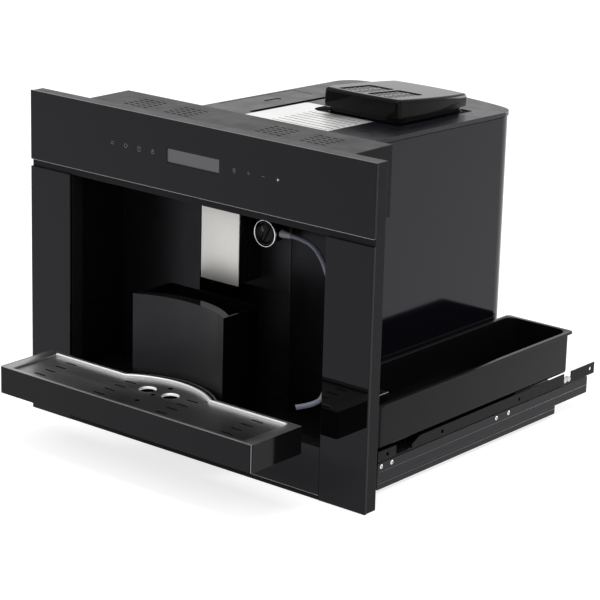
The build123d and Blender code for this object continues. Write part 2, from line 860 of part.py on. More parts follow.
with BuildPart() as cup_rack:
    with BuildSketch(sloped(rack_thick - seat_gap)) as rack_plan:
        with BuildLine():
            rack_outline(0)
        make_face()
        fillet(rack_plan.vertices().group_by(Axis.Y)[0], 6)
        fillet(rack_plan.vertices().sort_by_distance((rack_step_x, rack_back))[0:1], rack_corner)
        fillet(rack_plan.vertices().sort_by_distance((-rack_half, rack_step_back))[0:1], 6)
    extrude(amount=rack_thick)
    with BuildSketch(sloped(flute_deep - seat_gap)):
        with Locations(((flute_left + rack_half - 5) / 2, (rack_front + rack_back) / 2)):
            with GridLocations(1, flute_pitch, 1, int((rack_back - rack_front - 20) / flute_pitch) + 1):
                Rectangle(rack_half - 5 - flute_left, flute_wide)
    extrude(amount=flute_deep + 1, mode=Mode.SUBTRACT)
save(cup_rack, "cup_rack")

with BuildPart() as chute_hatch:
    with BuildSketch(sloped(hatch_thick)):
        with Locations((chute_x, chute_depth)):
            Rectangle(hatch_right - hatch_left, hatch_back - hatch_front)
    extrude(amount=hatch_thick - 0.2)
    for pin_start in (hatch_front - pin_length, hatch_back - 1):
        pin_height = top_at(pin_start + pin_length / 2) - hinge_inset
        rod(hatch_left + hinge_inset, pin_start, pin_height, hinge_pin, pin_length + 1, "y")
    with BuildSketch(sloped(1.0)):
        with Locations((hatch_right - 8, chute_depth)):
            SlotOverall(34, 9, rotation=90)
    extrude(amount=2, mode=Mode.SUBTRACT)
save(chute_hatch, "chute_hatch")

with BuildPart() as powder_chute:
    with BuildSketch(sloped(cover_thick + body_joint + seat_gap)):
        with Locations((chute_x, chute_depth)):
            RectangleRounded(2 * (chute_half + chute_rim), chute_long + 2 * chute_rim, 7)
            RectangleRounded(2 * chute_half, chute_long, 5, mode=Mode.SUBTRACT)
    extrude(amount=-2.5)
    with BuildSketch(sloped(cover_thick + body_joint + 2.5)):
        with Locations((chute_x, chute_depth)):
            RectangleRounded(2 * chute_half + chute_rim, chute_long + chute_rim, 6)
    with BuildSketch(level(chute_low)):
        with Locations((chute_x + chute_shift, chute_depth)):
            RectangleRounded(*chute_foot, 6)
    loft()
    with BuildSketch(sloped(cover_thick + body_joint)):
        with Locations((chute_x, chute_depth)):
            RectangleRounded(2 * chute_half, chute_long, 5)
    with BuildSketch(level(chute_low - 1)):
        with Locations((chute_x + chute_shift, chute_depth)):
            RectangleRounded(chute_foot[0] - chute_rim, chute_foot[1] - chute_rim, 5)
    loft(mode=Mode.SUBTRACT)
save(powder_chute, "powder_chute")

# ================================ bean lid and hopper ===========================================
lid_seat = top_at(lid_front) + seat_gap
lid_plan = (lid_right - lid_left, lid_back - lid_front)
pane = (lid_plan[0] * 0.31, lid_plan[1] * 0.44)
pane_x = (pane[0] + 6) / 2


def lid_plane(drop):
    """Plane of the lid's top, lowered by drop."""
    return Plane(
        origin=(hopper_x, back(lid_front), up(lid_high - drop)), x_dir=(1, 0, 0), z_dir=(0, lid_fall, 1)
    )


def lid_outline():
    """Cap of the lid seen from above: four bowed sides."""
    wide, long = lid_plan[0] / 2, lid_plan[1] / 2
    left, right = hopper_x - wide + lid_bow, hopper_x + wide - lid_bow
    near, far = hopper_depth - long + lid_bow, hopper_depth + long - lid_bow
    ThreePointArc((left, near), (hopper_x, near - lid_bow), (right, near))
    ThreePointArc((right, near), (right + lid_bow, hopper_depth), (right, far))
    ThreePointArc((right, far), (hopper_x, far + lid_bow), (left, far))
    ThreePointArc((left, far), (left - lid_bow, hopper_depth), (left, near))


with BuildPart() as bean_lid:
    with BuildSketch(sloped(-seat_gap)):
        with Locations((hopper_x, hopper_depth)):
            RectangleRounded(lid_plan[0] - 2 * plinth_inset, lid_plan[1] - 2 * plinth_inset, lid_corner - plinth_inset)
    extrude(amount=plinth_height)
    with BuildSketch(sloped(-seat_gap - plinth_height)) as lid_cap:
        with BuildLine():
            lid_outline()
        make_face()
        fillet(lid_cap.vertices(), cap_round)
    extrude(amount=lid_high)
    split(bisect_by=lid_plane(0), keep=Keep.BOTTOM)
    fillet(bean_lid.faces().sort_by(Axis.Z)[-1].outer_wire().edges(), 5.0)
    with BuildSketch(sloped(-seat_gap + 1)):
        with Locations((hopper_x, hopper_depth)):
            RectangleRounded(
                lid_plan[0] - 2 * plinth_inset - 2 * lid_wall,
                lid_plan[1] - 2 * plinth_inset - 2 * lid_wall,
                lid_corner - plinth_inset - lid_wall,
            )
    extrude(amount=lid_high - top_at(lid_back) - lid_fall * lid_plan[1] - 12, mode=Mode.SUBTRACT)
    with BuildSketch(lid_plane(1.0)):
        with Locations((0, pane[1] / 2 + pane_front)):
            with GridLocations(2 * pane_x, 1, 2, 1):
                RectangleRounded(*pane, 6)
    extrude(amount=3, mode=Mode.SUBTRACT)
    with BuildSketch(lid_plane(3.0)):
        with Locations((0, pane[1] / 2 + pane_front)):
            for half in (-pane_x, pane_x):
                with Locations((half, 0)):
                    with GridLocations(pane[0] / 2 - 1, (pane[1] - 8) / 7, 2, 7):
                        Rectangle(pane[0] / 2 - 5, 4)
    extrude(amount=3, mode=Mode.SUBTRACT)
save(bean_lid, "bean_lid")

with BuildPart() as bean_hopper:
    with BuildSketch(sloped(cover_thick + body_joint + 0.2)):
        with Locations((hopper_x, hopper_depth)):
            RectangleRounded(2 * hopper_half + 4, 2 * hopper_long + 4, 16)
    with BuildSketch(level(hopper_low + neck_tall)):
        with Locations((hopper_x, hopper_depth)):
            Circle(neck_radius)
    loft()
    with BuildSketch(level(hopper_low)):
        with Locations((hopper_x, hopper_depth)):
            Circle(neck_radius)
    extrude(amount=neck_tall)
    with BuildSketch(sloped(cover_thick + body_joint + 0.2)):
        with Locations((hopper_x, hopper_depth)):
            RectangleRounded(2 * hopper_half, 2 * hopper_long, 14)
    with BuildSketch(level(hopper_low + neck_tall)):
        with Locations((hopper_x, hopper_depth)):
            Circle(neck_radius - hopper_wall)
    loft(mode=Mode.SUBTRACT)
    rod(hopper_x, hopper_depth, hopper_low - 1, neck_radius - hopper_wall, neck_tall + 2, "z", Mode.SUBTRACT)
save(bean_hopper, "bean_hopper")

# ================================ grinder =======================================================
floor_inside = pan_base + sheet + body_wall
with BuildPart() as grinder_case:
    rod(hopper_x, hopper_depth, grinder_low, grinder_radius, hopper_low - grinder_low - 0.2, "z")
    rod(hopper_x, hopper_depth, grinder_low + 6, burr_size + 1, hopper_low - grinder_low, "z", Mode.SUBTRACT)
    rod(hopper_x, hopper_depth, grinder_low - 1, 7.0, 20, "z", Mode.SUBTRACT)
    block(
        (hopper_x - grinder_radius - 30, hopper_x - grinder_radius + 9),
        (hopper_depth - 12, hopper_depth + 12),
        (grinder_low, grinder_low + 20),
    )
    rod(hopper_x, hopper_depth, grinder_low + 6, burr_size + 1, hopper_low - grinder_low, "z", Mode.SUBTRACT)
    block(
        (hopper_x - grinder_radius - 33, hopper_x - 18),
        (hopper_depth - 8, hopper_depth + 8),
        (grinder_low + 6.5, grinder_low + 15),
        Mode.SUBTRACT,
    )
save(grinder_case, "grinder_case")

with BuildPart() as burr_fixed:
    with BuildSketch(level(hopper_low - 14)):
        with Locations((hopper_x, hopper_depth)):
            Circle(burr_size + 0.9)
            Circle(neck_radius - hopper_wall, mode=Mode.SUBTRACT)
    extrude(amount=13.8)
    with BuildSketch(level(hopper_low - 14)):
        with Locations((hopper_x, hopper_depth)):
            with PolarLocations(burr_size - 2.3, 18):
                Rectangle(6.5, 1.4, rotation=24)
    extrude(amount=2.0, mode=Mode.SUBTRACT)
save(burr_fixed, "burr_fixed")

with BuildPart() as burr_turning:
    with BuildSketch(level(hopper_low - 23)):
        with Locations((hopper_x, hopper_depth)):
            Circle(burr_size - 0.5)
    extrude(amount=8.2)
    with BuildSketch(level(hopper_low - 16.8)):
        with Locations((hopper_x, hopper_depth)):
            with PolarLocations(burr_size - 3.4, 18):
                Rectangle(6.5, 1.4, rotation=-24)
    extrude(amount=2.2, mode=Mode.SUBTRACT)
    with BuildSketch(level(hopper_low - 14.8)):
        with Locations((hopper_x, hopper_depth)):
            Circle(13)
    extrude(amount=11, taper=35)
    rod(hopper_x, hopper_depth, grinder_low - 12, 5.0, hopper_low - 23 - grinder_low + 12, "z")
save(burr_turning, "burr_turning")

motor_low = floor_inside + motor_rise
with BuildPart() as grinder_motor:
    rod(hopper_x, hopper_depth, motor_low, grinder_radius - 4, grinder_low - motor_low - 0.2, "z")
    chamfer(grinder_motor.edges().filter_by(GeomType.CIRCLE).group_by(Axis.Z)[0], 3)
    rod(hopper_x, hopper_depth, grinder_low - 14, 5.0 + seat_gap, 20, "z", Mode.SUBTRACT)
    for leg in (-1, 1):
        block(
            (hopper_x + leg * 20, hopper_x + leg * 26),
            (hopper_depth - 10, hopper_depth + 10),
            (floor_inside, motor_low + 12),
        )
save(grinder_motor, "grinder_motor")

# ================================ brewing =======================================================
brew_high = brew_low + brew_tall
piston_radius = brew_radius - brew_wall
with BuildPart() as brew_unit:
    rod(brew_x, brew_depth, brew_low, brew_radius, brew_high - brew_low, "z")
    rod(brew_x, brew_depth, brew_low + 6, piston_radius + 0.4, brew_high - brew_low, "z", Mode.SUBTRACT)
    rod(brew_x, brew_depth, brew_low - 1, 8.0 + 0.4, 10, "z", Mode.SUBTRACT)
    for side in (-1, 1):
        block(
            (brew_x + side * (brew_radius - 3), brew_x + side * (brew_radius + 5)),
            (brew_depth - 22, brew_depth + 22),
            (floor_inside, brew_high - 6),
        )
    rod(brew_x, brew_depth, brew_low + 6, piston_radius + 0.4, brew_high - brew_low, "z", Mode.SUBTRACT)
save(brew_unit, "brew_unit")

with BuildPart() as brew_piston:
    rod(brew_x, brew_depth, brew_low + 6 + seat_gap, piston_radius, 14, "z")
    with BuildSketch(level(brew_low + 17.3)):
        with Locations((brew_x, brew_depth)):
            Circle(piston_radius + 1)
            Circle(piston_radius - 1.4, mode=Mode.SUBTRACT)
    extrude(amount=1.6, mode=Mode.SUBTRACT)
    rod(brew_x, brew_depth, floor_inside + seat_gap, 8.0, brew_low + 8 - floor_inside, "z")
save(brew_piston, "brew_piston")

with BuildPart() as boiler:
    boiler_low = floor_inside + boiler_rise
    boiler_back = boiler_front + boiler_long
    block(
        (boiler_x - boiler_half, boiler_x + boiler_half),
        (boiler_front, boiler_back),
        (boiler_low, boiler_low + boiler_tall),
    )
    fillet(boiler.edges().filter_by(Axis.Z), 8)
    for pipe in (boiler_front + 20, boiler_back - 20):
        rod(boiler_x, pipe, boiler_low + boiler_tall, 4, 18, "z")
    for foot_depth in (boiler_front + 10, boiler_back - 10):
        block(
            (boiler_x - boiler_half + 6, boiler_x + boiler_half - 6),
            (foot_depth - 4, foot_depth + 4),
            (floor_inside, boiler_low),
        )
save(boiler, "boiler")

with BuildPart() as pump:
    rod(pump_x, pump_front + 14, floor_inside + pump_rise, pump_radius, pump_long)
    rod(pump_x, pump_front, floor_inside + pump_rise, 7, pump_long + 30)
    block(
        (pump_x - pump_radius + 3, pump_x + pump_radius - 3),
        (pump_front + 22, pump_front + pump_long + 6),
        (floor_inside, floor_inside + pump_rise / 2),
    )
save(pump, "pump")

with BuildPart() as mains_inlet:
    inlet_face = body_back + body_bulge * (1 - (inlet_x / body_half) ** 2)
    inlet_flange = inlet_face + 4.4
    block(
        (inlet_x - inlet_half[0], inlet_x + inlet_half[0]),
        (inlet_face - inlet_long, inlet_flange),
        (inlet_height - inlet_half[1], inlet_height + inlet_half[1]),
    )
    block(
        (inlet_x - inlet_flange_half[0], inlet_x + inlet_flange_half[0]),
        (inlet_flange, inlet_flange + 2),
        (inlet_height - inlet_flange_half[1], inlet_height + inlet_flange_half[1]),
    )
    fillet(mains_inlet.edges().filter_by(Axis.Y).group_by(Axis.Y)[-1], 2)
    block(
        (inlet_x - inlet_half[0] + inlet_wall, inlet_x + inlet_half[0] - inlet_wall),
        (inlet_face - inlet_long + 12, inlet_face + 7),
        (inlet_height - inlet_half[1] + inlet_wall, inlet_height + inlet_half[1] - inlet_wall),
        Mode.SUBTRACT,
    )
    for pin_x, pin_z in ((-7, -2), (0, 2.5), (7, -2)):
        block(
            (inlet_x + pin_x - 1, inlet_x + pin_x + 1),
            (inlet_face - inlet_long + 10, inlet_face + 2),
            (inlet_height + pin_z - 2, inlet_height + pin_z + 2),
        )
save(mains_inlet, "mains_inlet")


# ================================ water tank ====================================================
def tank_plan(inset):
    """Tank seen from above: a long box with a narrow nose beside the niche."""
    Polyline(
        (tank_nose + inset, tank_front + inset),
        (tank_right - inset, tank_front + inset),
        (tank_right - inset, tank_back - inset),
        (tank_left + inset, tank_back - inset),
        (tank_left + inset, tank_step + inset),
        (tank_nose + inset, tank_step + inset),
        close=True,
    )


with BuildPart() as water_tank:
    with BuildSketch(level(tank_base)) as tank_outside:
        with BuildLine():
            tank_plan(rim_width)
        make_face()
        fillet(tank_outside.vertices().group_by(Axis.Y)[-1], tank_edge)
        fillet(tank_outside.vertices().group_by(Axis.Y)[0], 8)
        fillet(tank_outside.vertices().sort_by_distance((tank_left, tank_step))[0:1], 12)
    extrude(amount=tank_rim - tank_base)
    fillet(water_tank.faces().sort_by(Axis.Z)[0].outer_wire().edges(), 5)
    with BuildSketch(level(tank_rim - rim_thick)) as tank_rim_plan:
        with BuildLine():
            tank_plan(0)
        make_face()
        fillet(tank_rim_plan.vertices().group_by(Axis.Y)[-1], tank_edge)
        fillet(tank_rim_plan.vertices().group_by(Axis.Y)[0], 8 + rim_width)
        fillet(tank_rim_plan.vertices().sort_by_distance((tank_left, tank_step))[0:1], 12 + rim_width)
    extrude(amount=rim_thick)
    with BuildSketch(level(tank_base + tank_wall)) as tank_inside:
        with BuildLine():
            tank_plan(rim_width + tank_wall)
        make_face()
        fillet(tank_inside.vertices().group_by(Axis.Y)[-1], tank_corner - tank_wall)
        fillet(tank_inside.vertices().group_by(Axis.Y)[0], 5.5)
        fillet(tank_inside.vertices().sort_by_distance((tank_left, tank_step))[0:1], 9.5)
    extrude(amount=tank_rim, mode=Mode.SUBTRACT)
    valve_place = ((tank_left + tank_right) / 2, tank_back - valve_back)
    rod(*valve_place, tank_base + tank_wall - 1, valve_radius, 9, "z")
    rod(*valve_place, tank_base - 1, 0.7 * valve_radius, 8, "z", Mode.SUBTRACT)
save(water_tank, "water_tank")

# ================================ pull-out frame ================================================
pan_top = pan_base + sheet
with BuildPart() as slide_pan:
    block((-rail_face, rail_face), (rail_front, pan_back), (pan_base, pan_top))
    block((-flange_x, flange_x), (fascia_depth, rail_front), (pan_base, pan_top))
    block((-window_half, window_half), (fascia_depth, fascia_depth + sheet), (pan_base, niche_floor - liner_wall))
    for side in (-1, 1):
        block(
            (side * (flange_x - sheet), side * flange_x),
            (rail_front + 6, rail_back - 10),
            (rail_low + 3, pan_top),
        )
        plate_x = rail_face - sheet if side > 0 else -rail_face
        with BuildSketch(Plane(origin=(plate_x, back(0), up(0)), x_dir=(0, 1, 0), z_dir=(1, 0, 0))):
            with BuildLine():
                Polyline(
                    (rail_front, pan_base),
                    (rail_front, side_high),
                    (front_notch[0], side_high),
                    (front_notch[0], pan_top),
                    (front_notch[1], pan_top),
                    (front_notch[2], side_high),
                    (roller_notch[0], side_high + side_rise),
                    (roller_notch[0], pan_top),
                    (roller_notch[1], pan_top),
                    (roller_notch[1], side_high + side_rise),
                    (side_back, side_high + side_rise),
                    (side_back, pan_base),
                    close=True,
                )
            make_face()
            with Locations(*side_holes, (side_back - 10, pan_base + 8.5)):
                Circle(side_hole_radius, mode=Mode.SUBTRACT)
        extrude(amount=sheet)
        block(
            (side * (rail_face - 3 * sheet), side * rail_face),
            (pan_back - 1, side_back),
            (pan_base, pan_top),
        )
    for rib_depth in rib_at:
        block((tank_left + 10, tank_right - 20), (rib_depth, rib_depth + sheet), (pan_top, tank_base - seat_gap))
save(slide_pan, "slide_pan")

with BuildPart() as cabinet_frame:
    for side in (-1, 1):
        block((side * (rail_face - foot_width), side * rail_face), (rail_front, foot_back), (floor_height, floor_height + sheet))
        block((side * (rail_face - sheet), side * rail_face), (rail_front, foot_back), (floor_height, rail_low))
        block(
            (side * (rail_face - rail_depth), side * rail_face),
            (rail_front, foot_back),
            (rail_low - sheet, rail_low),
        )
    for bar_depth in (rail_front, foot_back - bar_width):
        block((-rail_face + 5, rail_face - 5), (bar_depth, bar_depth + bar_width), (floor_height, floor_height + sheet))
    for side in (-1, 1):
        for hole_depth in (screw_depth - screw_half_span, screw_depth + screw_half_span):
            rod(side * screw_x, hole_depth, floor_height - 1, screw_hole, 4, "z", Mode.SUBTRACT)
save(cabinet_frame, "cabinet_frame")

with BuildPart() as slide_outer:
    for side in (-1, 1):
        block((side * (rail_face - sheet), side * rail_face), (rail_front, rail_back), (rail_low, rail_high))
        for flange in (rail_low, rail_high - sheet):
            block(
                (side * (rail_face - rail_depth), side * rail_face),
                (rail_front, rail_back),
                (flange, flange + sheet),
            )
save(slide_outer, "slide_outer")

middle_face = rail_face - sheet - slide_gap
with BuildPart() as slide_middle:
    middle_low = rail_low + sheet + slide_gap
    middle_high = rail_high - sheet - slide_gap
    for side in (-1, 1):
        block((side * (middle_face - sheet), side * middle_face), (rail_front + 6, rail_back - 6), (middle_low, middle_high))
        for flange in (middle_low, middle_high - sheet):
            block(
                (side * (middle_face - member_depth), side * middle_face),
                (rail_front + 6, rail_back - 6),
                (flange, flange + sheet),
            )
save(slide_middle, "slide_middle")

with BuildPart() as slide_inner:
    inner_low = middle_low + sheet + slide_gap
    inner_high = middle_high - sheet - slide_gap
    for side in (-1, 1):
        block((side * flange_x, side * (flange_x + sheet)), (rail_front + 8, rail_back - 12), (inner_low, inner_high))
        for flange in (inner_low, inner_high - sheet):
            block(
                (side * flange_x, side * (middle_face - sheet - slide_gap)),
                (rail_front + 8, rail_back - 12),
                (flange, flange + sheet),
            )
save(slide_inner, "slide_inner")

with BuildPart() as rail_screws:
    for side in (-1, 1):
        for screw_at in rail_screw_at:
            start = rail_face if side > 0 else -rail_face - rail_screw_head
            rod(start, screw_at, rail_high - 5, rail_screw_radius, rail_screw_head, "x")
save(rail_screws, "rail_screws")

with BuildPart() as pan_rollers:
    for side in (-1, 1):
        for roller_at in (roller_notch[0] + 4.5, roller_notch[1] - 4.5):
            start = rail_face - roller_wide if side > 0 else -rail_face
            rod(start, roller_at, pan_top + roller_radius, roller_radius, roller_wide, "x")
save(pan_rollers, "pan_rollers")
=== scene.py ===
"""Looks of a built-in coffee machine on its pull-out frame, drip tray drawn forward.

x runs to the right, y to the rear and z up, in metres.  Places are read from the frame's own parts.
Those that no part's box gives are measured from FRONT, the face of the front panes, and from FOOT,
the lower edge of the fascia.
"""

import json
from math import cos, pi, radians, sin

import bmesh
import bpy
from bpy.props import FloatProperty, FloatVectorProperty, PointerProperty
from bpy.types import Operator, Panel, PropertyGroup
from mathutils import Matrix, Vector


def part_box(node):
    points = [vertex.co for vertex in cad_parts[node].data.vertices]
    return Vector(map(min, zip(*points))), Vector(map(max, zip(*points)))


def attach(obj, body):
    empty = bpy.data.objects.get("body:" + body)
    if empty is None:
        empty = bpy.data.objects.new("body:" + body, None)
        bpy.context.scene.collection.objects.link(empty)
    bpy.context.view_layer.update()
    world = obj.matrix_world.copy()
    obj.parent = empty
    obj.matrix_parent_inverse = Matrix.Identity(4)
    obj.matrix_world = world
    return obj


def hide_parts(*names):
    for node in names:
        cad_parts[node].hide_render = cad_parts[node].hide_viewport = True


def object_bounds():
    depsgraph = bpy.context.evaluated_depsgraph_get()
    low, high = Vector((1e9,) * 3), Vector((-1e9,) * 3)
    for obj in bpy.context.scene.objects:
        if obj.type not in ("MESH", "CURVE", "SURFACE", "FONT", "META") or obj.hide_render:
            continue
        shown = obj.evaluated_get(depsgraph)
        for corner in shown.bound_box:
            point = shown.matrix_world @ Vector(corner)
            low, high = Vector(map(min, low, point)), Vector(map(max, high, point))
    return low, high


bl_info = {
    "name": "Built-in coffee machine",
    "version": (1, 0, 0),
    "blender": (4, 5, 0),
    "location": "View3D > Sidebar > Coffee machine",
    "description": "Dresses the frame of a built-in coffee machine with its finishes and fine parts",
    "category": "Object",
}

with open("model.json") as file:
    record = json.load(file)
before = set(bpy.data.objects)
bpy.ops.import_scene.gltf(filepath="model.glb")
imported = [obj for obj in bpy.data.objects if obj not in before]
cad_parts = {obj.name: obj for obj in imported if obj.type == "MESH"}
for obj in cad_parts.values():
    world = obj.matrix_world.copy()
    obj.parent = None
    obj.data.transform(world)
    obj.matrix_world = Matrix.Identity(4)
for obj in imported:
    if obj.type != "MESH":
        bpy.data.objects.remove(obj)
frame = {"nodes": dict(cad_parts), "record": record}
cad_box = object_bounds()

MM = 0.001
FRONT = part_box("pillar_glass")[0].y  # face of the front panes
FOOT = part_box("pillar_glass")[0].z  # lower edge of the fascia
GRILLE_TOP = FOOT + 107.4 * MM  # upper face of the drip grille
CUP_X = 20.0 * MM  # round openings of the grille, beside its middle
CUP_Y = FRONT - 60.0 * MM
TOP_FALL = 0.024  # slope of the machine's top, which falls to the rear
LID_FALL = 0.085  # slope of the bean lid's cap


# ---- sizes and colours ---------------------------------------------------------------------------
def length(title, description, default):
    """A size in metres for the panel."""
    return FloatProperty(
        name=title, description=description, default=default, min=0.0, unit="LENGTH", precision=5
    )


def angle(title, description, degrees):
    """An angle for the panel, given in degrees."""
    return FloatProperty(name=title, description=description, default=radians(degrees), subtype="ANGLE")


def power(title, description, default):
    """The power or strength of a light for the panel."""
    return FloatProperty(name=title, description=description, default=default, min=0.0)


def tint(title, description, default):
    """A colour for the panel."""
    return FloatVectorProperty(
        name=title, description=description, default=default, size=3, min=0.0, max=1.0, subtype="COLOR"
    )


class FinishColours(PropertyGroup):
    """Colours of the finishes."""

    glass: tint("Front glass", "Black of the glass front", (0.002, 0.002, 0.002))
    gloss: tint("Gloss black", "Black of the tray, the lid and the niche", (0.004, 0.004, 0.004))
    satin: tint("Satin black", "Coating of the frame and the slides", (0.010, 0.010, 0.011))
    plastic: tint("Black plastic", "Moulded parts inside the niche", (0.004, 0.004, 0.0045))
    body: tint("Body", "Painted sheet of the machine's body", (0.004, 0.004, 0.006))
    steel: tint("Brushed steel", "Grille, cup rack and spout plate", (0.62, 0.62, 0.615))
    chrome: tint("Chrome", "Dial ring and screws", (0.78, 0.78, 0.79))
    display: tint("Display", "Blank display window", (0.100, 0.100, 0.106))
    print_mark: tint("Touch marks", "Printing on the control glass", (0.13, 0.13, 0.14))
    hose: tint("Milk hose", "Translucent silicone", (0.20, 0.21, 0.27))
    sleeve: tint("Hose sleeve", "Pale plastic sleeve", (0.36, 0.37, 0.40))
    signal: tint("Dial inlay", "Dark red inlay of the frother dial", (0.050, 0.010, 0.010))


class FrontSizes(PropertyGroup):
    """Sizes on the glass front."""

    mark_line: length("Mark line", "Line width of the touch marks", 0.0008)
    mark_print: length("Mark thickness", "How far the printing stands on the glass", 0.00012)
    bezel: length("Display bezel", "Width of the dark line round the display", 0.0009)
    trim: length("Trim", "Height of the bright line under the control glass", 0.0007)
    seal: length("Niche seal", "Thickness of the seal round the niche", 0.0016)


class SpoutSizes(PropertyGroup):
    """Sizes of the coffee spout."""

    plate_edge: length("Plate edge", "Rounded edge of the steel plate", 0.0007)
    block_edge: length("Block edge", "Rounded edge of the spout block", 0.0022)
    groove: length("Groove", "Depth of the parting groove round the block", 0.0006)
    tip_lip: length("Tip lip", "Rolled lip at the mouth of each nozzle", 0.0006)


class FrotherSizes(PropertyGroup):
    """Sizes of the milk frother and its hose."""

    hose_radius: length("Hose radius", "Outer radius of the milk hose", 0.0035)
    hose_bore: length("Hose bore", "Inner radius of the milk hose", 0.0021)
    tip: length("Cut end", "Length of the slanting cut end", 0.0075)
    rib: length("Sleeve rib", "Height of the ribs on the sleeve", 0.0005)
    grip: length("Dial grip", "Width of the grip across the dial", 0.0062)


class TraySizes(PropertyGroup):
    """Sizes on the drip tray."""

    trim: length("Edge trim", "Bright edge along the tray's front", 0.0006)
    skin: length("Rim skin", "Thickness of the steel on the tray's rim", 0.00015)
    lip: length("Lip rounding", "Rounding of the grille's rear lip", 0.0019)
    lip_rise: length("Lip rise", "How far the bead stands above the lip", 0.0012)
    border: length("End border", "Width of the plain border at both ends", 0.0150)
    front_border: length("Front border", "Width of the border along the front", 0.0035)
    rim: length("Opening edge", "Pressed edge round the grille's openings", 0.0009)


class TopSizes(PropertyGroup):
    """Sizes on the machine's top."""

    joint: length("Joint", "Width of the fine joint lines", 0.0007)
    lid_border: length("Lid border", "Distance of the line from the lid's edge", 0.0085)
    # the slot floors are dull black painted shade
    lid_slot: length("Lid slot", "Width of the dull floor of each slot in the lid", 0.0038)
    rack_rim: length("Rack rims", "Rounding of the pressed places in the cup rack", 0.0006)


class SlideSizes(PropertyGroup):
    """Sizes on the pull-out frame."""

    screw_dome: length("Screw dome", "Height of a screw's head", 0.0011)
    recess: length("Screw recess", "Width of the cross recess", 0.0008)
    ridge: length("Slide ridge", "Height of the rolled edges along the slides", 0.00030)
    hub: length("Roller hub", "Radius of the pin in each roller", 0.0014)
    tank_rim: length("Tank rim", "Rounding of the tank's rim", 0.0007)


class StageSettings(PropertyGroup):
    """Camera, floor and light."""

    lens: FloatProperty(name="Lens", description="Focal length in mm on a 36 mm sensor", default=141.95)
    place: FloatVectorProperty(
        name="Camera", description="Place of the lens", default=(1.982, -2.480, 1.112), size=3, unit="LENGTH"
    )
    yaw: angle("Turn", "Camera turned from the front", 39.183)
    pitch: angle("Tilt", "Camera tilted down", 16.767)
    roll: angle("Roll", "Camera rolled", 1.538)
    floor: tint("Floor", "Colour of the floor", (0.45, 0.45, 0.45))
    floor_half: length("Floor", "Half side of the floor", 7.0)
    floor_glow: power("Floor glow", "White added to the floor for the eye", 0.74)
    lamp_size: length("Lamp size", "Side of each square lamp", 1.8)
    key_power: power("Key lamp", "Power of the soft lamp at the front", 20.0)
    side_power: power("Side lamp", "Power of the soft lamp at the right", 10.0)
    top_power: power("Top lamp", "Power of the lamp overhead", 20.0)
    rim_power: power("Rim lamp", "Power of the lamp behind the machine", 75.0)
    sky: power("Sky", "World light on dull surfaces", 0.80)


# ---- modelling -----------------------------------------------------------------------------------
def cuboid(bm, low, high):
    """Box between two corners; gives its vertices."""
    made = bmesh.ops.create_cube(bm, size=1.0)["verts"]
    bmesh.ops.scale(bm, vec=Vector(high) - Vector(low), verts=made)
    bmesh.ops.translate(bm, vec=(Vector(high) + Vector(low)) / 2, verts=made)
    return made


def edges_of(verts):
    """Every edge between some vertices, in a steady order."""
    inside = set(verts)
    return [e for e in dict.fromkeys(e for v in verts for e in v.link_edges) if inside.issuperset(e.verts)]


def soften(bm, edges, width, segments=2):
    """Round some edges."""
    bmesh.ops.bevel(
        bm,
        geom=list(edges),
        offset=width,
        offset_type="OFFSET",
        segments=segments,
        profile=0.5,
        affect="EDGES",
        clamp_overlap=True,
        material=-1,
    )


def soft_box(bm, low, high, width, segments=2):
    """Box with rounded edges."""
    soften(bm, edges_of(cuboid(bm, low, high)), width, segments)


def strips(bm, corners, near, far, width=0.0):
    """Flat strips at the front between two depths, from pairs of (x, z) corners."""
    for start, end in corners:
        made = cuboid(bm, (start[0], near, start[1]), (end[0], far, end[1]))
        if width:
            soften(bm, edges_of(made), width)


def beside(side, first, second):
    """Two distances at one side of the middle (-1 or 1), the lower x first."""
    return sorted((side * first, side * second))


def lathe(bm, profile, centre, axis, steps=48, closed=False):
    """Turned shape; profile gives radii and distances along the axis."""
    direction = Vector(axis).normalized()
    side = direction.orthogonal().normalized()
    ring = [bm.verts.new(Vector(centre) + direction * along + side * radius) for radius, along in profile]
    pairs = list(zip(ring, ring[1:]))
    if closed:
        pairs.append((ring[-1], ring[0]))
    edges = [bm.edges.new(pair) for pair in pairs]
    bmesh.ops.spin(
        bm, geom=ring + edges, cent=centre, axis=direction, angle=2 * pi, steps=steps, use_merge=True
    )
    bmesh.ops.remove_doubles(bm, verts=bm.verts, dist=1e-7)


def copy_of(node):
    """Merged copy of a frame part, with its flat faces joined."""
    bm = bmesh.new()
    bm.from_mesh(frame["nodes"][node].data)
    bmesh.ops.remove_doubles(bm, verts=bm.verts, dist=2e-6)
    bmesh.ops.dissolve_limit(bm, angle_limit=radians(0.6), verts=bm.verts, edges=bm.edges)
    return bm


def piece(name, bm, slot, body, replaced=(), sharp=32, finish=None, more=()):
    """Finished piece from a bmesh: it rides on a body and wears its slot's finish, or another.

    Edges turned by more than sharp degrees stay sharp; more lists the finishes of further faces.
    """
    bmesh.ops.recalc_face_normals(bm, faces=bm.faces)
    mesh = bpy.data.meshes.new(name)
    bm.to_mesh(mesh)
    bm.free()
    if not mesh.polygons:
        raise RuntimeError(f"{name} has no faces")
    mesh.shade_smooth()
    mesh.set_sharp_from_angle(angle=radians(sharp))
    made = bpy.data.objects.new(name, mesh)
    bpy.context.scene.collection.objects.link(made)
    for one in (finish or slot, *more):
        mesh.materials.append(finish_of(one))
    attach(made, body)
    if replaced:
        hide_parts(*replaced)
    return made


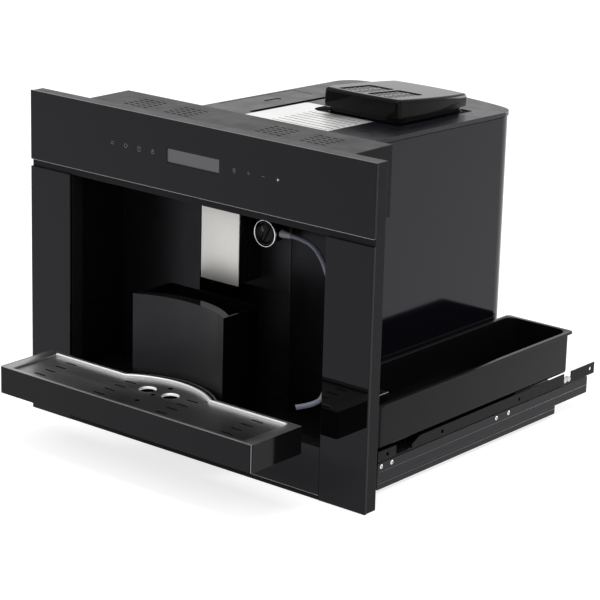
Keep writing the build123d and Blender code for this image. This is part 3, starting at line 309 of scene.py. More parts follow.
# ---- finishes ------------------------------------------------------------------------------------
class Recipe:
    """Node tree of one finish, on the object's own coordinates."""

    def __init__(self, name):
        self.material = bpy.data.materials.new(name)
        self.material.use_nodes = True
        self.nodes = self.material.node_tree.nodes
        self.links = self.material.node_tree.links
        self.nodes.clear()
        output = self.nodes.new("ShaderNodeOutputMaterial")
        self.shader = self.nodes.new("ShaderNodeBsdfPrincipled")
        self.links.new(self.shader.outputs["BSDF"], output.inputs["Surface"])
        self.place = self.nodes.new("ShaderNodeTexCoord").outputs["Object"]

    def set(self, **values):
        """Plain values on the shader's own sockets."""
        for socket, value in values.items():
            self.shader.inputs[socket.replace("_", " ")].default_value = value

    def feed(self, socket, value):
        """Link a node to one of the shader's sockets."""
        self.links.new(value, self.shader.inputs[socket])

    def mapped(self, scale=(1.0, 1.0, 1.0), move=(0.0, 0.0, 0.0), turn=(0.0, 0.0, 0.0)):
        """The object's coordinates, moved, turned and stretched."""
        node = self.nodes.new("ShaderNodeMapping")
        node.inputs["Scale"].default_value = scale
        node.inputs["Location"].default_value = move
        node.inputs["Rotation"].default_value = turn
        self.links.new(self.place, node.inputs["Vector"])
        return node.outputs["Vector"]

    def noise(self, scale, detail=2.0, where=None, rough=0.5):
        """Noise of a scale per metre."""
        node = self.nodes.new("ShaderNodeTexNoise")
        node.inputs["Scale"].default_value = scale
        node.inputs["Detail"].default_value = detail
        node.inputs["Roughness"].default_value = rough
        self.links.new(where or self.place, node.inputs["Vector"])
        return node.outputs["Fac"]

    def ranged(self, value, low, high, to_low, to_high):
        """Value mapped from one range to another, held at both ends."""
        node = self.nodes.new("ShaderNodeMapRange")
        for socket, number in zip(("From Min", "From Max", "To Min", "To Max"), (low, high, to_low, to_high)):
            node.inputs[socket].default_value = number
        self.links.new(value, node.inputs["Value"])
        return node.outputs["Result"]

    def sums(self, kind, first, second):
        """Sum, product or the like of two values."""
        node = self.nodes.new("ShaderNodeMath")
        node.operation = kind
        for socket, value in zip(node.inputs, (first, second)):
            if isinstance(value, (int, float)):
                socket.default_value = value
            else:
                self.links.new(value, socket)
        return node.outputs["Value"]

    def mix(self, factor, first, second):
        """Mix of two colours."""
        node = self.nodes.new("ShaderNodeMix")
        node.data_type = "RGBA"
        self.links.new(factor, node.inputs[0])
        for socket, value in ((node.inputs[6], first), (node.inputs[7], second)):
            if isinstance(value, tuple):
                socket.default_value = (*value[:3], 1.0)
            else:
                self.links.new(value, socket)
        return node.outputs[2]

    def rounding(self, radius):
        """Normal of softly broken edges, and how near an edge a place is."""
        bevel = self.nodes.new("ShaderNodeBevel")
        bevel.samples = 4
        bevel.inputs["Radius"].default_value = radius
        own = self.nodes.new("ShaderNodeNewGeometry").outputs["Normal"]
        dot = self.nodes.new("ShaderNodeVectorMath")
        dot.operation = "DOT_PRODUCT"
        self.links.new(bevel.outputs["Normal"], dot.inputs[0])
        self.links.new(own, dot.inputs[1])
        return bevel.outputs["Normal"], self.ranged(dot.outputs["Value"], 0.80, 0.995, 1.0, 0.0)

    def bump(self, height, strength, distance, normal=None):
        """Relief from a height."""
        node = self.nodes.new("ShaderNodeBump")
        node.inputs["Strength"].default_value = strength
        node.inputs["Distance"].default_value = distance
        self.links.new(height, node.inputs["Height"])
        if normal is not None:
            self.links.new(normal, node.inputs["Normal"])
        return node.outputs["Normal"]


def shaded(colour, factor):
    """A colour made darker or lighter."""
    return tuple(min(1.0, part * factor) for part in colour)


COLD = (0.91, 0.89, 1.0)  # cool tint of what the black surfaces mirror


def moulded(
    name, colour, roughness, grain=1500.0, depth=0.03, tone=0.10, edge_share=0.2, rim=0.0005, ior=1.46, rubbing_and_highlight=3.2
):
    """Coated, painted or moulded surface: grain, clouding, handled patches and lightened edges.

    Grain is per metre and depth its strength; tone is how far the colour wanders; edge_share is how
    much of an edge within rim is lightened, and rubbing_and_highlight how much lighter it is there,
    partly rubbing and partly a painted highlight line.
    """
    made = Recipe(name)
    clouds = made.noise(11.0, 4.0)
    patches = made.noise(38.0, 3.0, made.mapped(move=(0.31, 0.17, 0.05)))
    fine = made.noise(grain, 2.0)
    normal, edge = made.rounding(rim)
    rubbing_and_lit_edge = made.sums("MULTIPLY", edge, made.ranged(patches, 0.35, 0.65, 0.3 * edge_share, edge_share))
    plain = made.mix(clouds, shaded(colour, 1 - tone), shaded(colour, 1 + tone))
    # edges turn lighter: partly rubbing, partly a painted highlight line along the edge
    made.feed("Base Color", made.mix(rubbing_and_lit_edge, plain, shaded(colour, rubbing_and_highlight)))
    uneven = made.ranged(patches, 0.3, 0.7, roughness * 0.86, roughness * 1.14)
    made.feed("Roughness", made.sums("ADD", uneven, made.sums("MULTIPLY", rubbing_and_lit_edge, 0.12)))
    made.feed("Normal", made.bump(fine, depth, 0.00015, normal))
    made.set(IOR=ior, Specular_Tint=(*COLD, 1.0))
    return made.material


def polished(name, colour, roughness, ior, wave=0.0, rim=0.0004):
    """Glass or gloss lacquer: a deep reflection with faint wipe marks."""
    made = Recipe(name)
    wipes = made.noise(24.0, 5.0, made.mapped(scale=(1.0, 1.0, 0.35), turn=(0.0, 0.3, 0.0)))
    dust = made.noise(5200.0, 1.0)
    normal = made.rounding(rim)[0]
    cloud = made.ranged(wipes, 0.3, 0.7, 0.0, 1.0)
    made.feed("Base Color", made.mix(cloud, shaded(colour, 0.85), shaded(colour, 1.2)))
    smear = made.ranged(wipes, 0.35, 0.75, roughness * 0.7, roughness * 1.5)
    made.feed("Roughness", made.sums("ADD", smear, made.ranged(dust, 0.72, 0.80, 0.0, 0.08)))
    waves = made.noise(7.0, 1.0)
    made.feed("Normal", made.bump(waves, wave, 0.004, normal))
    made.set(IOR=ior, Specular_Tint=(*COLD, 1.0))
    return made.material


def brushed(name, colour, roughness, stretch, edge_share=0.2, depth=0.04):
    """Brushed metal: long fine scratches along one axis, with a lighter edge, partly rubbing and partly a
    painted highlight.
    """
    made = Recipe(name)
    scratches = made.noise(900.0, 3.0, made.mapped(scale=stretch), 0.7)
    bands = made.noise(160.0, 2.0, made.mapped(scale=stretch, move=(0.4, 0.1, 0.2)))
    clouds = made.noise(14.0, 3.0)
    normal, edge = made.rounding(0.0004)
    plain = made.mix(scratches, shaded(colour, 0.95), shaded(colour, 1.04))
    # edges turn lighter: partly rubbing, partly a painted highlight
    made.feed("Base Color", made.mix(made.sums("MULTIPLY", edge, edge_share), plain, shaded(colour, 1.25)))
    uneven = [made.ranged(pattern, 0.3, 0.7, -0.02, 0.02) for pattern in (bands, clouds)]
    streaks = made.sums("ADD", *uneven)
    made.feed("Roughness", made.sums("ADD", streaks, roughness))
    made.feed("Normal", made.bump(scratches, depth, 0.00005, normal))
    made.set(Metallic=1.0, Anisotropic=0.4)
    return made.material


def bare_metal(name, colour, roughness, depth=0.08, grain=700.0):
    """Plated, turned or cast metal: a fine grain, dull patches and lighter edges, partly rubbing and partly a
    painted highlight.
    """
    made = Recipe(name)
    fine = made.noise(grain, 3.0)
    patches = made.noise(60.0, 4.0, made.mapped(move=(0.2, 0.4, 0.1)))
    normal, edge = made.rounding(0.0003)
    plain = made.mix(patches, shaded(colour, 0.82), shaded(colour, 1.08))
    # edges turn lighter: partly rubbing, partly a painted highlight
    made.feed("Base Color", made.mix(made.sums("MULTIPLY", edge, 0.3), plain, shaded(colour, 1.2)))
    made.feed("Roughness", made.ranged(patches, 0.3, 0.7, roughness * 0.8, roughness * 1.3))
    made.feed("Normal", made.bump(fine, depth, 0.0001, normal))
    made.set(Metallic=1.0)
    return made.material


def display_window(name, colour):
    """Blank display behind smoked glass: faint cells, and painted shade along its left and lower edges."""
    made = Recipe(name)
    low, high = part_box("display")
    split = made.nodes.new("ShaderNodeSeparateXYZ")
    made.links.new(made.place, split.inputs["Vector"])
    # darker towards the left and lower edges: painted shade of the window's frame
    side = made.ranged(split.outputs["X"], low.x + 0.0035, low.x + 0.0085, 0.35, 1.0)
    foot = made.ranged(split.outputs["Z"], low.z + 0.0035, low.z + 0.0065, 0.55, 1.0)
    cells = made.nodes.new("ShaderNodeTexChecker")
    cells.inputs["Scale"].default_value = 1800.0
    made.links.new(made.mapped(), cells.inputs["Vector"])
    plain = made.mix(made.noise(30.0, 2.0), shaded(colour, 0.94), shaded(colour, 1.06))
    lit = made.mix(cells.outputs["Fac"], shaded(colour, 0.94), plain)
    made.feed("Base Color", made.mix(made.sums("MULTIPLY", side, foot), shaded(colour, 0.18), lit))
    made.feed("Roughness", made.ranged(made.noise(90.0), 0.3, 0.7, 0.10, 0.16))
    normal = made.rounding(0.0003)[0]
    made.feed("Normal", made.bump(made.noise(2600.0), 0.03, 0.0001, normal))
    made.set(IOR=1.4)
    return made.material


def silicone(name, colour):
    """Translucent hose: cloudy wall with faint mould lines along it."""
    made = Recipe(name)
    clouds = made.noise(28.0, 2.0)
    grain = made.noise(900.0, 2.0)
    made.feed("Base Color", made.mix(clouds, shaded(colour, 0.92), shaded(colour, 1.06)))
    made.feed("Roughness", made.ranged(clouds, 0.3, 0.7, 0.20, 0.28))
    made.feed("Normal", made.bump(grain, 0.05, 0.00008))
    made.set(Transmission_Weight=0.18, IOR=1.41, Subsurface_Weight=0.10, Subsurface_Scale=0.002)
    return made.material


def circuit_board(name):
    """Green lacquered board with copper runs."""
    made = Recipe(name)
    runs = made.nodes.new("ShaderNodeTexBrick")
    runs.inputs["Scale"].default_value = 160.0
    runs.inputs["Mortar Size"].default_value = 0.03
    runs.inputs["Color1"].default_value = (0.012, 0.075, 0.030, 1.0)
    runs.inputs["Color2"].default_value = (0.010, 0.060, 0.024, 1.0)
    runs.inputs["Mortar"].default_value = (0.09, 0.13, 0.05, 1.0)
    made.links.new(made.mapped(turn=(radians(90), 0.0, 0.0)), runs.inputs["Vector"])
    made.feed("Base Color", runs.outputs["Color"])
    made.feed("Roughness", made.ranged(made.noise(200.0), 0.3, 0.7, 0.28, 0.42))
    made.feed("Normal", made.bump(runs.outputs["Fac"], 0.3, 0.0002))
    return made.material


finishes = {}


def finish_of(slot):
    """The finish of a material slot, made once."""
    if slot not in finishes:
        finishes[slot] = make_finish(slot, bpy.context.scene.machine_colours)
    return finishes[slot]


def make_finish(slot, colours):
    """Recipe of each slot's finish."""
    across, upright = (0.02, 1.0, 1.0), (1.0, 1.0, 0.02)
    # the housings take a darker copy of the satin coat: painted shade
    satin, satin_in_shade = colours.satin, shaded(colours.satin, 0.7)
    # a darker, dull copy of the plastic: painted shade for hollows, slots and grooves
    plastic, painted_shade = colours.plastic, shaded(colours.plastic, 0.4)
    white_print = shaded(colours.print_mark, 4.0)
    recipes = {
        # glass and gloss lacquer
        "black_glass": lambda: polished(slot, colours.glass, 0.025, 1.27, wave=0.01),
        "gloss_black": lambda: polished(slot, colours.gloss, 0.09, 1.185, wave=0.02),
        "tray_black": lambda: polished(slot, colours.gloss, 0.12, 1.235, wave=0.01),
        "hopper_smoke": lambda: polished(slot, (0.020, 0.016, 0.015), 0.12, 1.49, wave=0.03),
        "display_grey": lambda: display_window(slot, colours.display),
        # coated sheet
        # frame edges strongly lightened: painted highlight lines along them
        "frame_black": lambda: moulded(
            slot, satin, 0.26, grain=1700.0, depth=0.05, edge_share=0.8, rim=0.0008, ior=1.16, rubbing_and_highlight=5.0
        ),
        # slide edges strongly lightened: painted highlight lines along them
        "slide_black": lambda: moulded(
            slot, satin, 0.24, grain=1700.0, depth=0.04, edge_share=0.8, rim=0.0006, ior=1.26, rubbing_and_highlight=12.0
        ),
        "housing_black": lambda: moulded(
            slot, satin_in_shade, 0.32, depth=0.06, edge_share=0.4, rim=0.0006, ior=1.165, rubbing_and_highlight=4.5
        ),
        "body_grey": lambda: moulded(
            slot, colours.body, 0.07, grain=1100.0, depth=0.01, tone=0.06, rim=0.0006, ior=1.30, rubbing_and_highlight=5.0
        ),
        "cover_black": lambda: moulded(slot, colours.body, 0.30, depth=0.05, tone=0.06, rim=0.0006, ior=1.30),
        # light grey of the slide ridges: painted highlight lines along the slides
        "ridge_highlight_grey": lambda: moulded(
            slot, (0.10, 0.10, 0.10), 0.35, grain=1600.0, depth=0.04, tone=0.08, edge_share=0.3
        ),
        # moulded plastic
        "box_black": lambda: moulded(slot, colours.gloss, 0.40, tone=0.06, edge_share=0.1, rim=0.0006, ior=1.38),
        "painted_shade_black": lambda: moulded(slot, painted_shade, 0.5, edge_share=0.0, rim=0.0004, ior=1.03),
        "liner_black": lambda: moulded(slot, plastic, 0.30, grain=1300.0, edge_share=0.05, ior=1.25),
        # the tank's edges much lighter: the painted highlight line along its rim
        "tank_black": lambda: moulded(
            slot, plastic, 0.16, grain=1200.0, tone=0.08, edge_share=0.8, ior=1.20, rubbing_and_highlight=30.0
        ),
        "sleeve_grey": lambda: moulded(
            slot, colours.sleeve, 0.42, grain=1800.0, depth=0.08, tone=0.05, edge_share=0.1
        ),
        "roller_white": lambda: moulded(
            slot, (0.78, 0.78, 0.77), 0.40, grain=1600.0, depth=0.06, tone=0.05, edge_share=0.1
        ),
        "piston_white": lambda: moulded(slot, (0.66, 0.65, 0.62), 0.40, depth=0.08, tone=0.06, edge_share=0.1),
        "signal_red": lambda: moulded(slot, colours.signal, 0.25, depth=0.05, edge_share=0.35),
        "mark_grey": lambda: moulded(
            slot, colours.print_mark, 0.5, grain=3000.0, depth=0.05, tone=0.15, edge_share=0.0
        ),
        "mark_white": lambda: moulded(slot, white_print, 0.5, grain=3000.0, depth=0.05, edge_share=0.0),
        "hose_clear": lambda: silicone(slot, colours.hose),
        "board_green": lambda: circuit_board(slot),
        # metal
        "bright_steel": lambda: brushed(slot, shaded(colours.chrome, 0.45), 0.30, across),
        # lighter copy of the steel: painted reflection of the bright surroundings
        "brushed_steel": lambda: brushed(slot, shaded(colours.steel, 1.38), 0.40, across),
        # darker copy of the same steel: painted shade
        "grille_shade_steel": lambda: brushed(slot, shaded(colours.steel, 0.50), 0.34, across),
        # darker copy of the same steel: painted reflection
        "border_reflection_steel": lambda: brushed(slot, shaded(colours.steel, 0.62), 0.38, across),
        # lighter copy of the same steel: painted highlight on lips and collars
        "lip_highlight_steel": lambda: brushed(slot, shaded(colours.steel, 1.52), 0.48, across, depth=0.03),
        "spout_steel": lambda: brushed(slot, (0.62, 0.61, 0.59), 0.54, upright, depth=0.05),
        "chrome": lambda: bare_metal(slot, colours.chrome, 0.07, depth=0.02),
        "burr_steel": lambda: bare_metal(slot, (0.36, 0.36, 0.37), 0.32),
        "motor_grey": lambda: bare_metal(slot, (0.30, 0.30, 0.31), 0.45),
        "boiler_alloy": lambda: bare_metal(slot, (0.60, 0.60, 0.61), 0.42, depth=0.2, grain=320.0),
        "pump_brass": lambda: bare_metal(slot, (0.62, 0.47, 0.22), 0.30),
    }
    return recipes[slot]()


OWN_FINISHES = {  # parts whose finish differs from their slot's
    "drip_tray": "tray_black",
    "brew_cover": "box_black",
    **dict.fromkeys(("slide_outer", "slide_middle", "slide_inner", "cabinet_frame"), "slide_black"),
}


class FrameFinishes(Operator):
    """Give every part of the frame the finish of its material slot or its own"""

    bl_idname = "machine.frame_finishes"
    bl_label = "Frame finishes"

    def execute(self, context):
        slots = {part["node"]: part["material_slot"] for part in frame["record"]["subparts"]}
        slots.update(OWN_FINISHES)
        for name, part in frame["nodes"].items():
            part.data.materials.clear()
            part.data.materials.append(finish_of(slots[name]))
        return {"FINISHED"}


# ---- milk frother and hose -----------------------------------------------------------------------
HOSE_ROUTE = (  # out of the sleeve, over to the niche's right wall, down it and back to the cut end
    (0.0965, -0.1880, 0.3042),
    (0.1190, -0.1888, 0.3036),
    (0.1475, -0.1975, 0.2985),
    (0.1800, -0.2145, 0.2770),
    (0.2075, -0.2350, 0.2360),
    (0.2185, -0.2518, 0.1890),
    (0.2187, -0.2612, 0.1345),
    (0.2085, -0.2657, 0.1195),
    (0.1815, -0.2696, 0.1104),
)


class MilkHose(Operator):
    """Make the hanging milk hose with its slanting cut end"""

    bl_idname = "machine.milk_hose"
    bl_label = "Milk hose"

    def execute(self, context):
        sizes = context.scene.machine_frother
        line = bpy.data.curves.new("milk_hose_line", "CURVE")
        line.dimensions = "3D"
        line.bevel_depth = sizes.hose_radius
        line.bevel_resolution = 6
        line.resolution_u = 16
        line.use_fill_caps = True
        run = line.splines.new("NURBS")
        run.points.add(len(HOSE_ROUTE) - 1)
        for point, place in zip(run.points, HOSE_ROUTE):
            point.co = (*place, 1.0)
        run.order_u = 3
        run.use_endpoint_u = True
        hose = bpy.data.objects.new("milk_hose_line", line)
        context.scene.collection.objects.link(hose)
        line.materials.append(finish_of("hose_clear"))
        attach(hose, "machine")
        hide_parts("milk_hose")
        tip = self.cut_end(sizes)
        return {"FINISHED"}

    def cut_end(self, sizes):
        """Short tube over the hose's end, cut at a slant, with its bore open."""
        end = Vector(HOSE_ROUTE[-1])
        along = (end - Vector(HOSE_ROUTE[-2])).normalized()
        outer = sizes.hose_radius + 0.00006
        bm = bmesh.new()
        lathe(
            bm,
            (
                (sizes.hose_bore, sizes.tip),
                (outer, sizes.tip),
                (outer, 0.0),
                (0.0, 0.0),
                (0.0, 0.0006),
                (sizes.hose_bore, 0.0006),
            ),
            end - along * 0.0005,
            along,
            36,
            closed=True,
        )
        slant = (along * 0.80 + Vector((0, 0, 1)).cross(along) * 0.55).normalized()
        cut = bmesh.ops.bisect_plane(
            bm,
            geom=bm.verts[:] + bm.edges[:] + bm.faces[:],
            plane_co=end + along * sizes.tip * 0.42,
            plane_no=slant,
            clear_outer=True,
        )
        rims = [part for part in cut["geom_cut"] if isinstance(part, bmesh.types.BMEdge)]
        bmesh.ops.bridge_loops(bm, edges=rims)
        return piece("hose_cut_end", bm, "hose_clear", "machine")


class FrotherHead(Operator):
    """Make the frother's housing, its nipple, the pale sleeve, the dial and its ring"""

    bl_idname = "machine.frother_head"
    bl_label = "Milk frother"

    def execute(self, context):
        sizes = context.scene.machine_frother
        self.housing()
        self.sleeve(sizes)
        self.dial(sizes)
        self.ring()
        return {"FINISHED"}

    def housing(self):
        """Round housing against the niche's rear wall, with a barbed nipple to the right."""
        low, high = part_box("frother_body")
        knob_low, knob_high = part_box("frother_knob")
        centre = Vector(((knob_low.x + knob_high.x) / 2, knob_high.y, (knob_low.z + knob_high.z) / 2))
        deep = high.y - knob_high.y
        radius = centre.x - low.x
        bm = bmesh.new()
        lathe(
            bm,
            (
                (0.0, -0.0024),
                (0.0029, -0.0024),
                (0.0029, 0.0003),
                (radius - 0.0022, 0.0003),
                (radius - 0.0008, 0.0012),
                (radius - 0.0008, deep * 0.42),
                (radius, deep * 0.48),
                (radius, deep * 0.90),
                (radius - 0.0006, deep),
                (0.0, deep),
            ),
            centre,
            (0, 1, 0),
        )
        sleeve_low, sleeve_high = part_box("hose_sleeve")
        axis = Vector((centre.x, (sleeve_low.y + sleeve_high.y) / 2, (sleeve_low.z + sleeve_high.z) / 2))
        reach = sleeve_low.x - centre.x
        lathe(
            bm,
            (
                (0.0, 0.002),
                (0.0025, 0.002),
                (0.0025, reach - 0.0040),
                (0.0036, reach - 0.0036),
                (0.0036, reach - 0.0026),
                (0.0026, reach - 0.0022),
                (0.0026, reach - 0.0002),
                (0.0, reach - 0.0002),
            ),
            axis,
            (1, 0, 0),
            32,
        )
        piece("frother_housing", bm, "liner_black", "machine", ["frother_body"])

    def sleeve(self, sizes):
        """Tapered pale sleeve with ribs, over the start of the hose."""
        low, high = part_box("hose_sleeve")
        axis = Vector((low.x, (low.y + high.y) / 2, (low.z + high.z) / 2))
        radius = (high.z - low.z) / 2
        long = high.x - low.x
        profile = [(0.0, 0.0), (radius - 0.0010, 0.0), (radius, 0.0008), (radius, long * 0.22)]
        for rib in range(4):
            start = long * (0.26 + 0.13 * rib)
            wall = radius - 0.0003 - 0.00025 * rib
            profile += [(wall - sizes.rib, start), (wall - sizes.rib, start + 0.0009), (wall, start + 0.0012)]
        profile += [(radius - 0.0013, long * 0.90), (radius - 0.0015, long - 0.0002), (0.0, long - 0.0002)]
        bm = bmesh.new()
        lathe(bm, profile, axis, (1, 0, 0), 40)
        piece("sleeve_ribbed", bm, "sleeve_grey", "machine", ["hose_sleeve"])

    def dial(self, sizes):
        """Dished dial with a grip across it and a dark inlay at one side."""
        low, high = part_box("frother_knob")
        centre = Vector(((low.x + high.x) / 2, low.y, (low.z + high.z) / 2))
        radius = (high.x - low.x) / 2
        deep = high.y - low.y
        bm = bmesh.new()
        lathe(
            bm,
            (
                (0.0, 0.0026),
                (radius * 0.72, 0.0023),
                (radius * 0.80, 0.0006),
                (radius * 0.86, 0.0),
                (radius * 0.96, 0.0002),
                (radius, 0.0010),
                (radius, deep - 0.0006),
                (radius - 0.0006, deep - 0.0001),
                (0.0, deep - 0.0001),
            ),
            centre,
            (0, 1, 0),
            64,
        )
        half = Vector((radius * 0.74, 0.0014, sizes.grip / 2))
        grip = cuboid(bm, centre - half, centre + half)
        bmesh.ops.translate(bm, vec=(0, 0.0018, 0), verts=grip)
        bmesh.ops.rotate(bm, cent=centre, matrix=Matrix.Rotation(radians(-62), 3, "Y"), verts=grip)
        soften(bm, edges_of(grip), 0.0006)
        piece("dial", bm, "gloss_black", "knob", ["frother_knob"])
        inlay = bmesh.new()
        wedge = bmesh.ops.create_cone(
            inlay, cap_ends=True, segments=3, radius1=radius * 0.36, radius2=radius * 0.34, depth=0.0009
        )["verts"]
        bmesh.ops.rotate(inlay, cent=(0, 0, 0), matrix=Matrix.Rotation(radians(90), 3, "X"), verts=wedge)
        bmesh.ops.translate(inlay, vec=centre + Vector((-radius * 0.36, 0.0022, radius * 0.26)), verts=wedge)
        soften(inlay, edges_of(wedge), 0.0003)
        piece("dial_inlay", inlay, "gloss_black", "knob", finish="signal_red")

    def ring(self):
        """Polished wire ring round the dial."""
        low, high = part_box("knob_ring")
        centre = (Vector(low) + Vector(high)) / 2
        outer = (high.x - low.x) / 2
        half_wire, half_deep = 1.2 * MM, (high.y - low.y) / 2
        turns = [step * pi / 8 for step in range(16)]
        section = [(outer - half_wire + half_wire * cos(turn), half_deep * sin(turn)) for turn in turns]
        bm = bmesh.new()
        lathe(bm, section, centre, (0, 1, 0), 96, closed=True)
        piece("dial_ring", bm, "chrome", "knob", ["knob_ring"], 60)


# ---- spout ---------------------------------------------------------------------------------------
class CoffeeSpout(Operator):
    """Make the spout's steel plate, its black block and the two nozzles"""

    bl_idname = "machine.coffee_spout"
    bl_label = "Coffee spout"

    def execute(self, context):
        sizes = context.scene.machine_spout
        low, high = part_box("spout_plate")
        bm = bmesh.new()
        soft_box(bm, low, high, sizes.plate_edge)
        piece("spout_face", bm, "brushed_steel", "spout", ["spout_plate"], finish="spout_steel")
        self.block(sizes)
        self.tips(sizes)
        return {"FINISHED"}

    def block(self, sizes):
        """Black block behind the plate: parting groove, shroud round the nozzles and tongue."""
        low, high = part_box("spout_block")
        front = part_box("spout_plate")[1].y
        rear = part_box("spout_guide")[0].y - 1.5 * MM
        split = low.z + (high.z - low.z) * 0.16
        gap = 0.6 * MM
        bm = bmesh.new()
        lower = cuboid(bm, (low.x, front, low.z), (high.x, rear, split - gap))
        upper = cuboid(bm, (low.x, front, split + gap), (high.x, rear, high.z))
        for part in (lower, upper):
            upright = [e for e in edges_of(part) if abs(e.verts[0].co.z - e.verts[1].co.z) > 1 * MM]
            soften(bm, upright, sizes.block_edge, 3)
        core_low = (low.x + sizes.groove, front, split - 1 * MM)
        core_high = (high.x - sizes.groove, rear - sizes.groove, split + 1 * MM)
        cuboid(bm, core_low, core_high)
        tongue = 8 * MM
        start, end = (-tongue, rear - 1 * MM, low.z + 3.5 * MM), (tongue, high.y, high.z - 2.5 * MM)
        soft_box(bm, start, end, 0.6 * MM)
        piece("spout_housing", bm, "liner_black", "spout", ["spout_block"])

    def tips(self, sizes):
        """Two nozzles with an open bore and a rolled lip."""
        low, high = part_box("spout_nozzles")
        radius = (high.y - low.y) / 2
        tall = high.z - low.z
        bm = bmesh.new()
        for side in (low.x + radius, high.x - radius):
            lathe(
                bm,
                (
                    (0.0022, 0.0),
                    (radius - 0.0012 - sizes.tip_lip, 0.0),
                    (radius - 0.0009, sizes.tip_lip),
                    (radius - 0.0012, 2 * sizes.tip_lip),
                    (radius, tall * 0.72),
                    (radius, tall),
                    (0.0022, tall),
                ),
                Vector((side, (low.y + high.y) / 2, low.z)),
                (0, 0, 1),
                40,
                closed=True,
            )
        piece("spout_tips", bm, "gloss_black", "spout", ["spout_nozzles"])


class GroundsBox(Operator):
    """Make the grounds container with its satin front, glossy rim, and a dull darker black elsewhere that
    paints the shade inside and behind it
    """

    bl_idname = "machine.grounds_box"
    bl_label = "Grounds container"

    def execute(self, context):
        low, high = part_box("grounds_container")
        bow = 22.5 * MM  # the bowed front wall lies within this depth
        bm = copy_of("grounds_container")
        for face in bm.faces:
            centre = face.calc_center_median()
            on_rim = face.normal.z > 0.9 and centre.z > high.z - 1 * MM
            on_front = face.normal.y < -0.3 and centre.y < low.y + bow
            # faces other than the front and the rim take the darker dull black: painted shade
            if on_rim:
                face.material_index = 1
            elif not on_front:
                face.material_index = 2
        others = ("gloss_black", "painted_shade_black")
        piece("grounds_box", bm, "gloss_black", "grounds", ["grounds_container"], 32, "box_black", others)
        return {"FINISHED"}


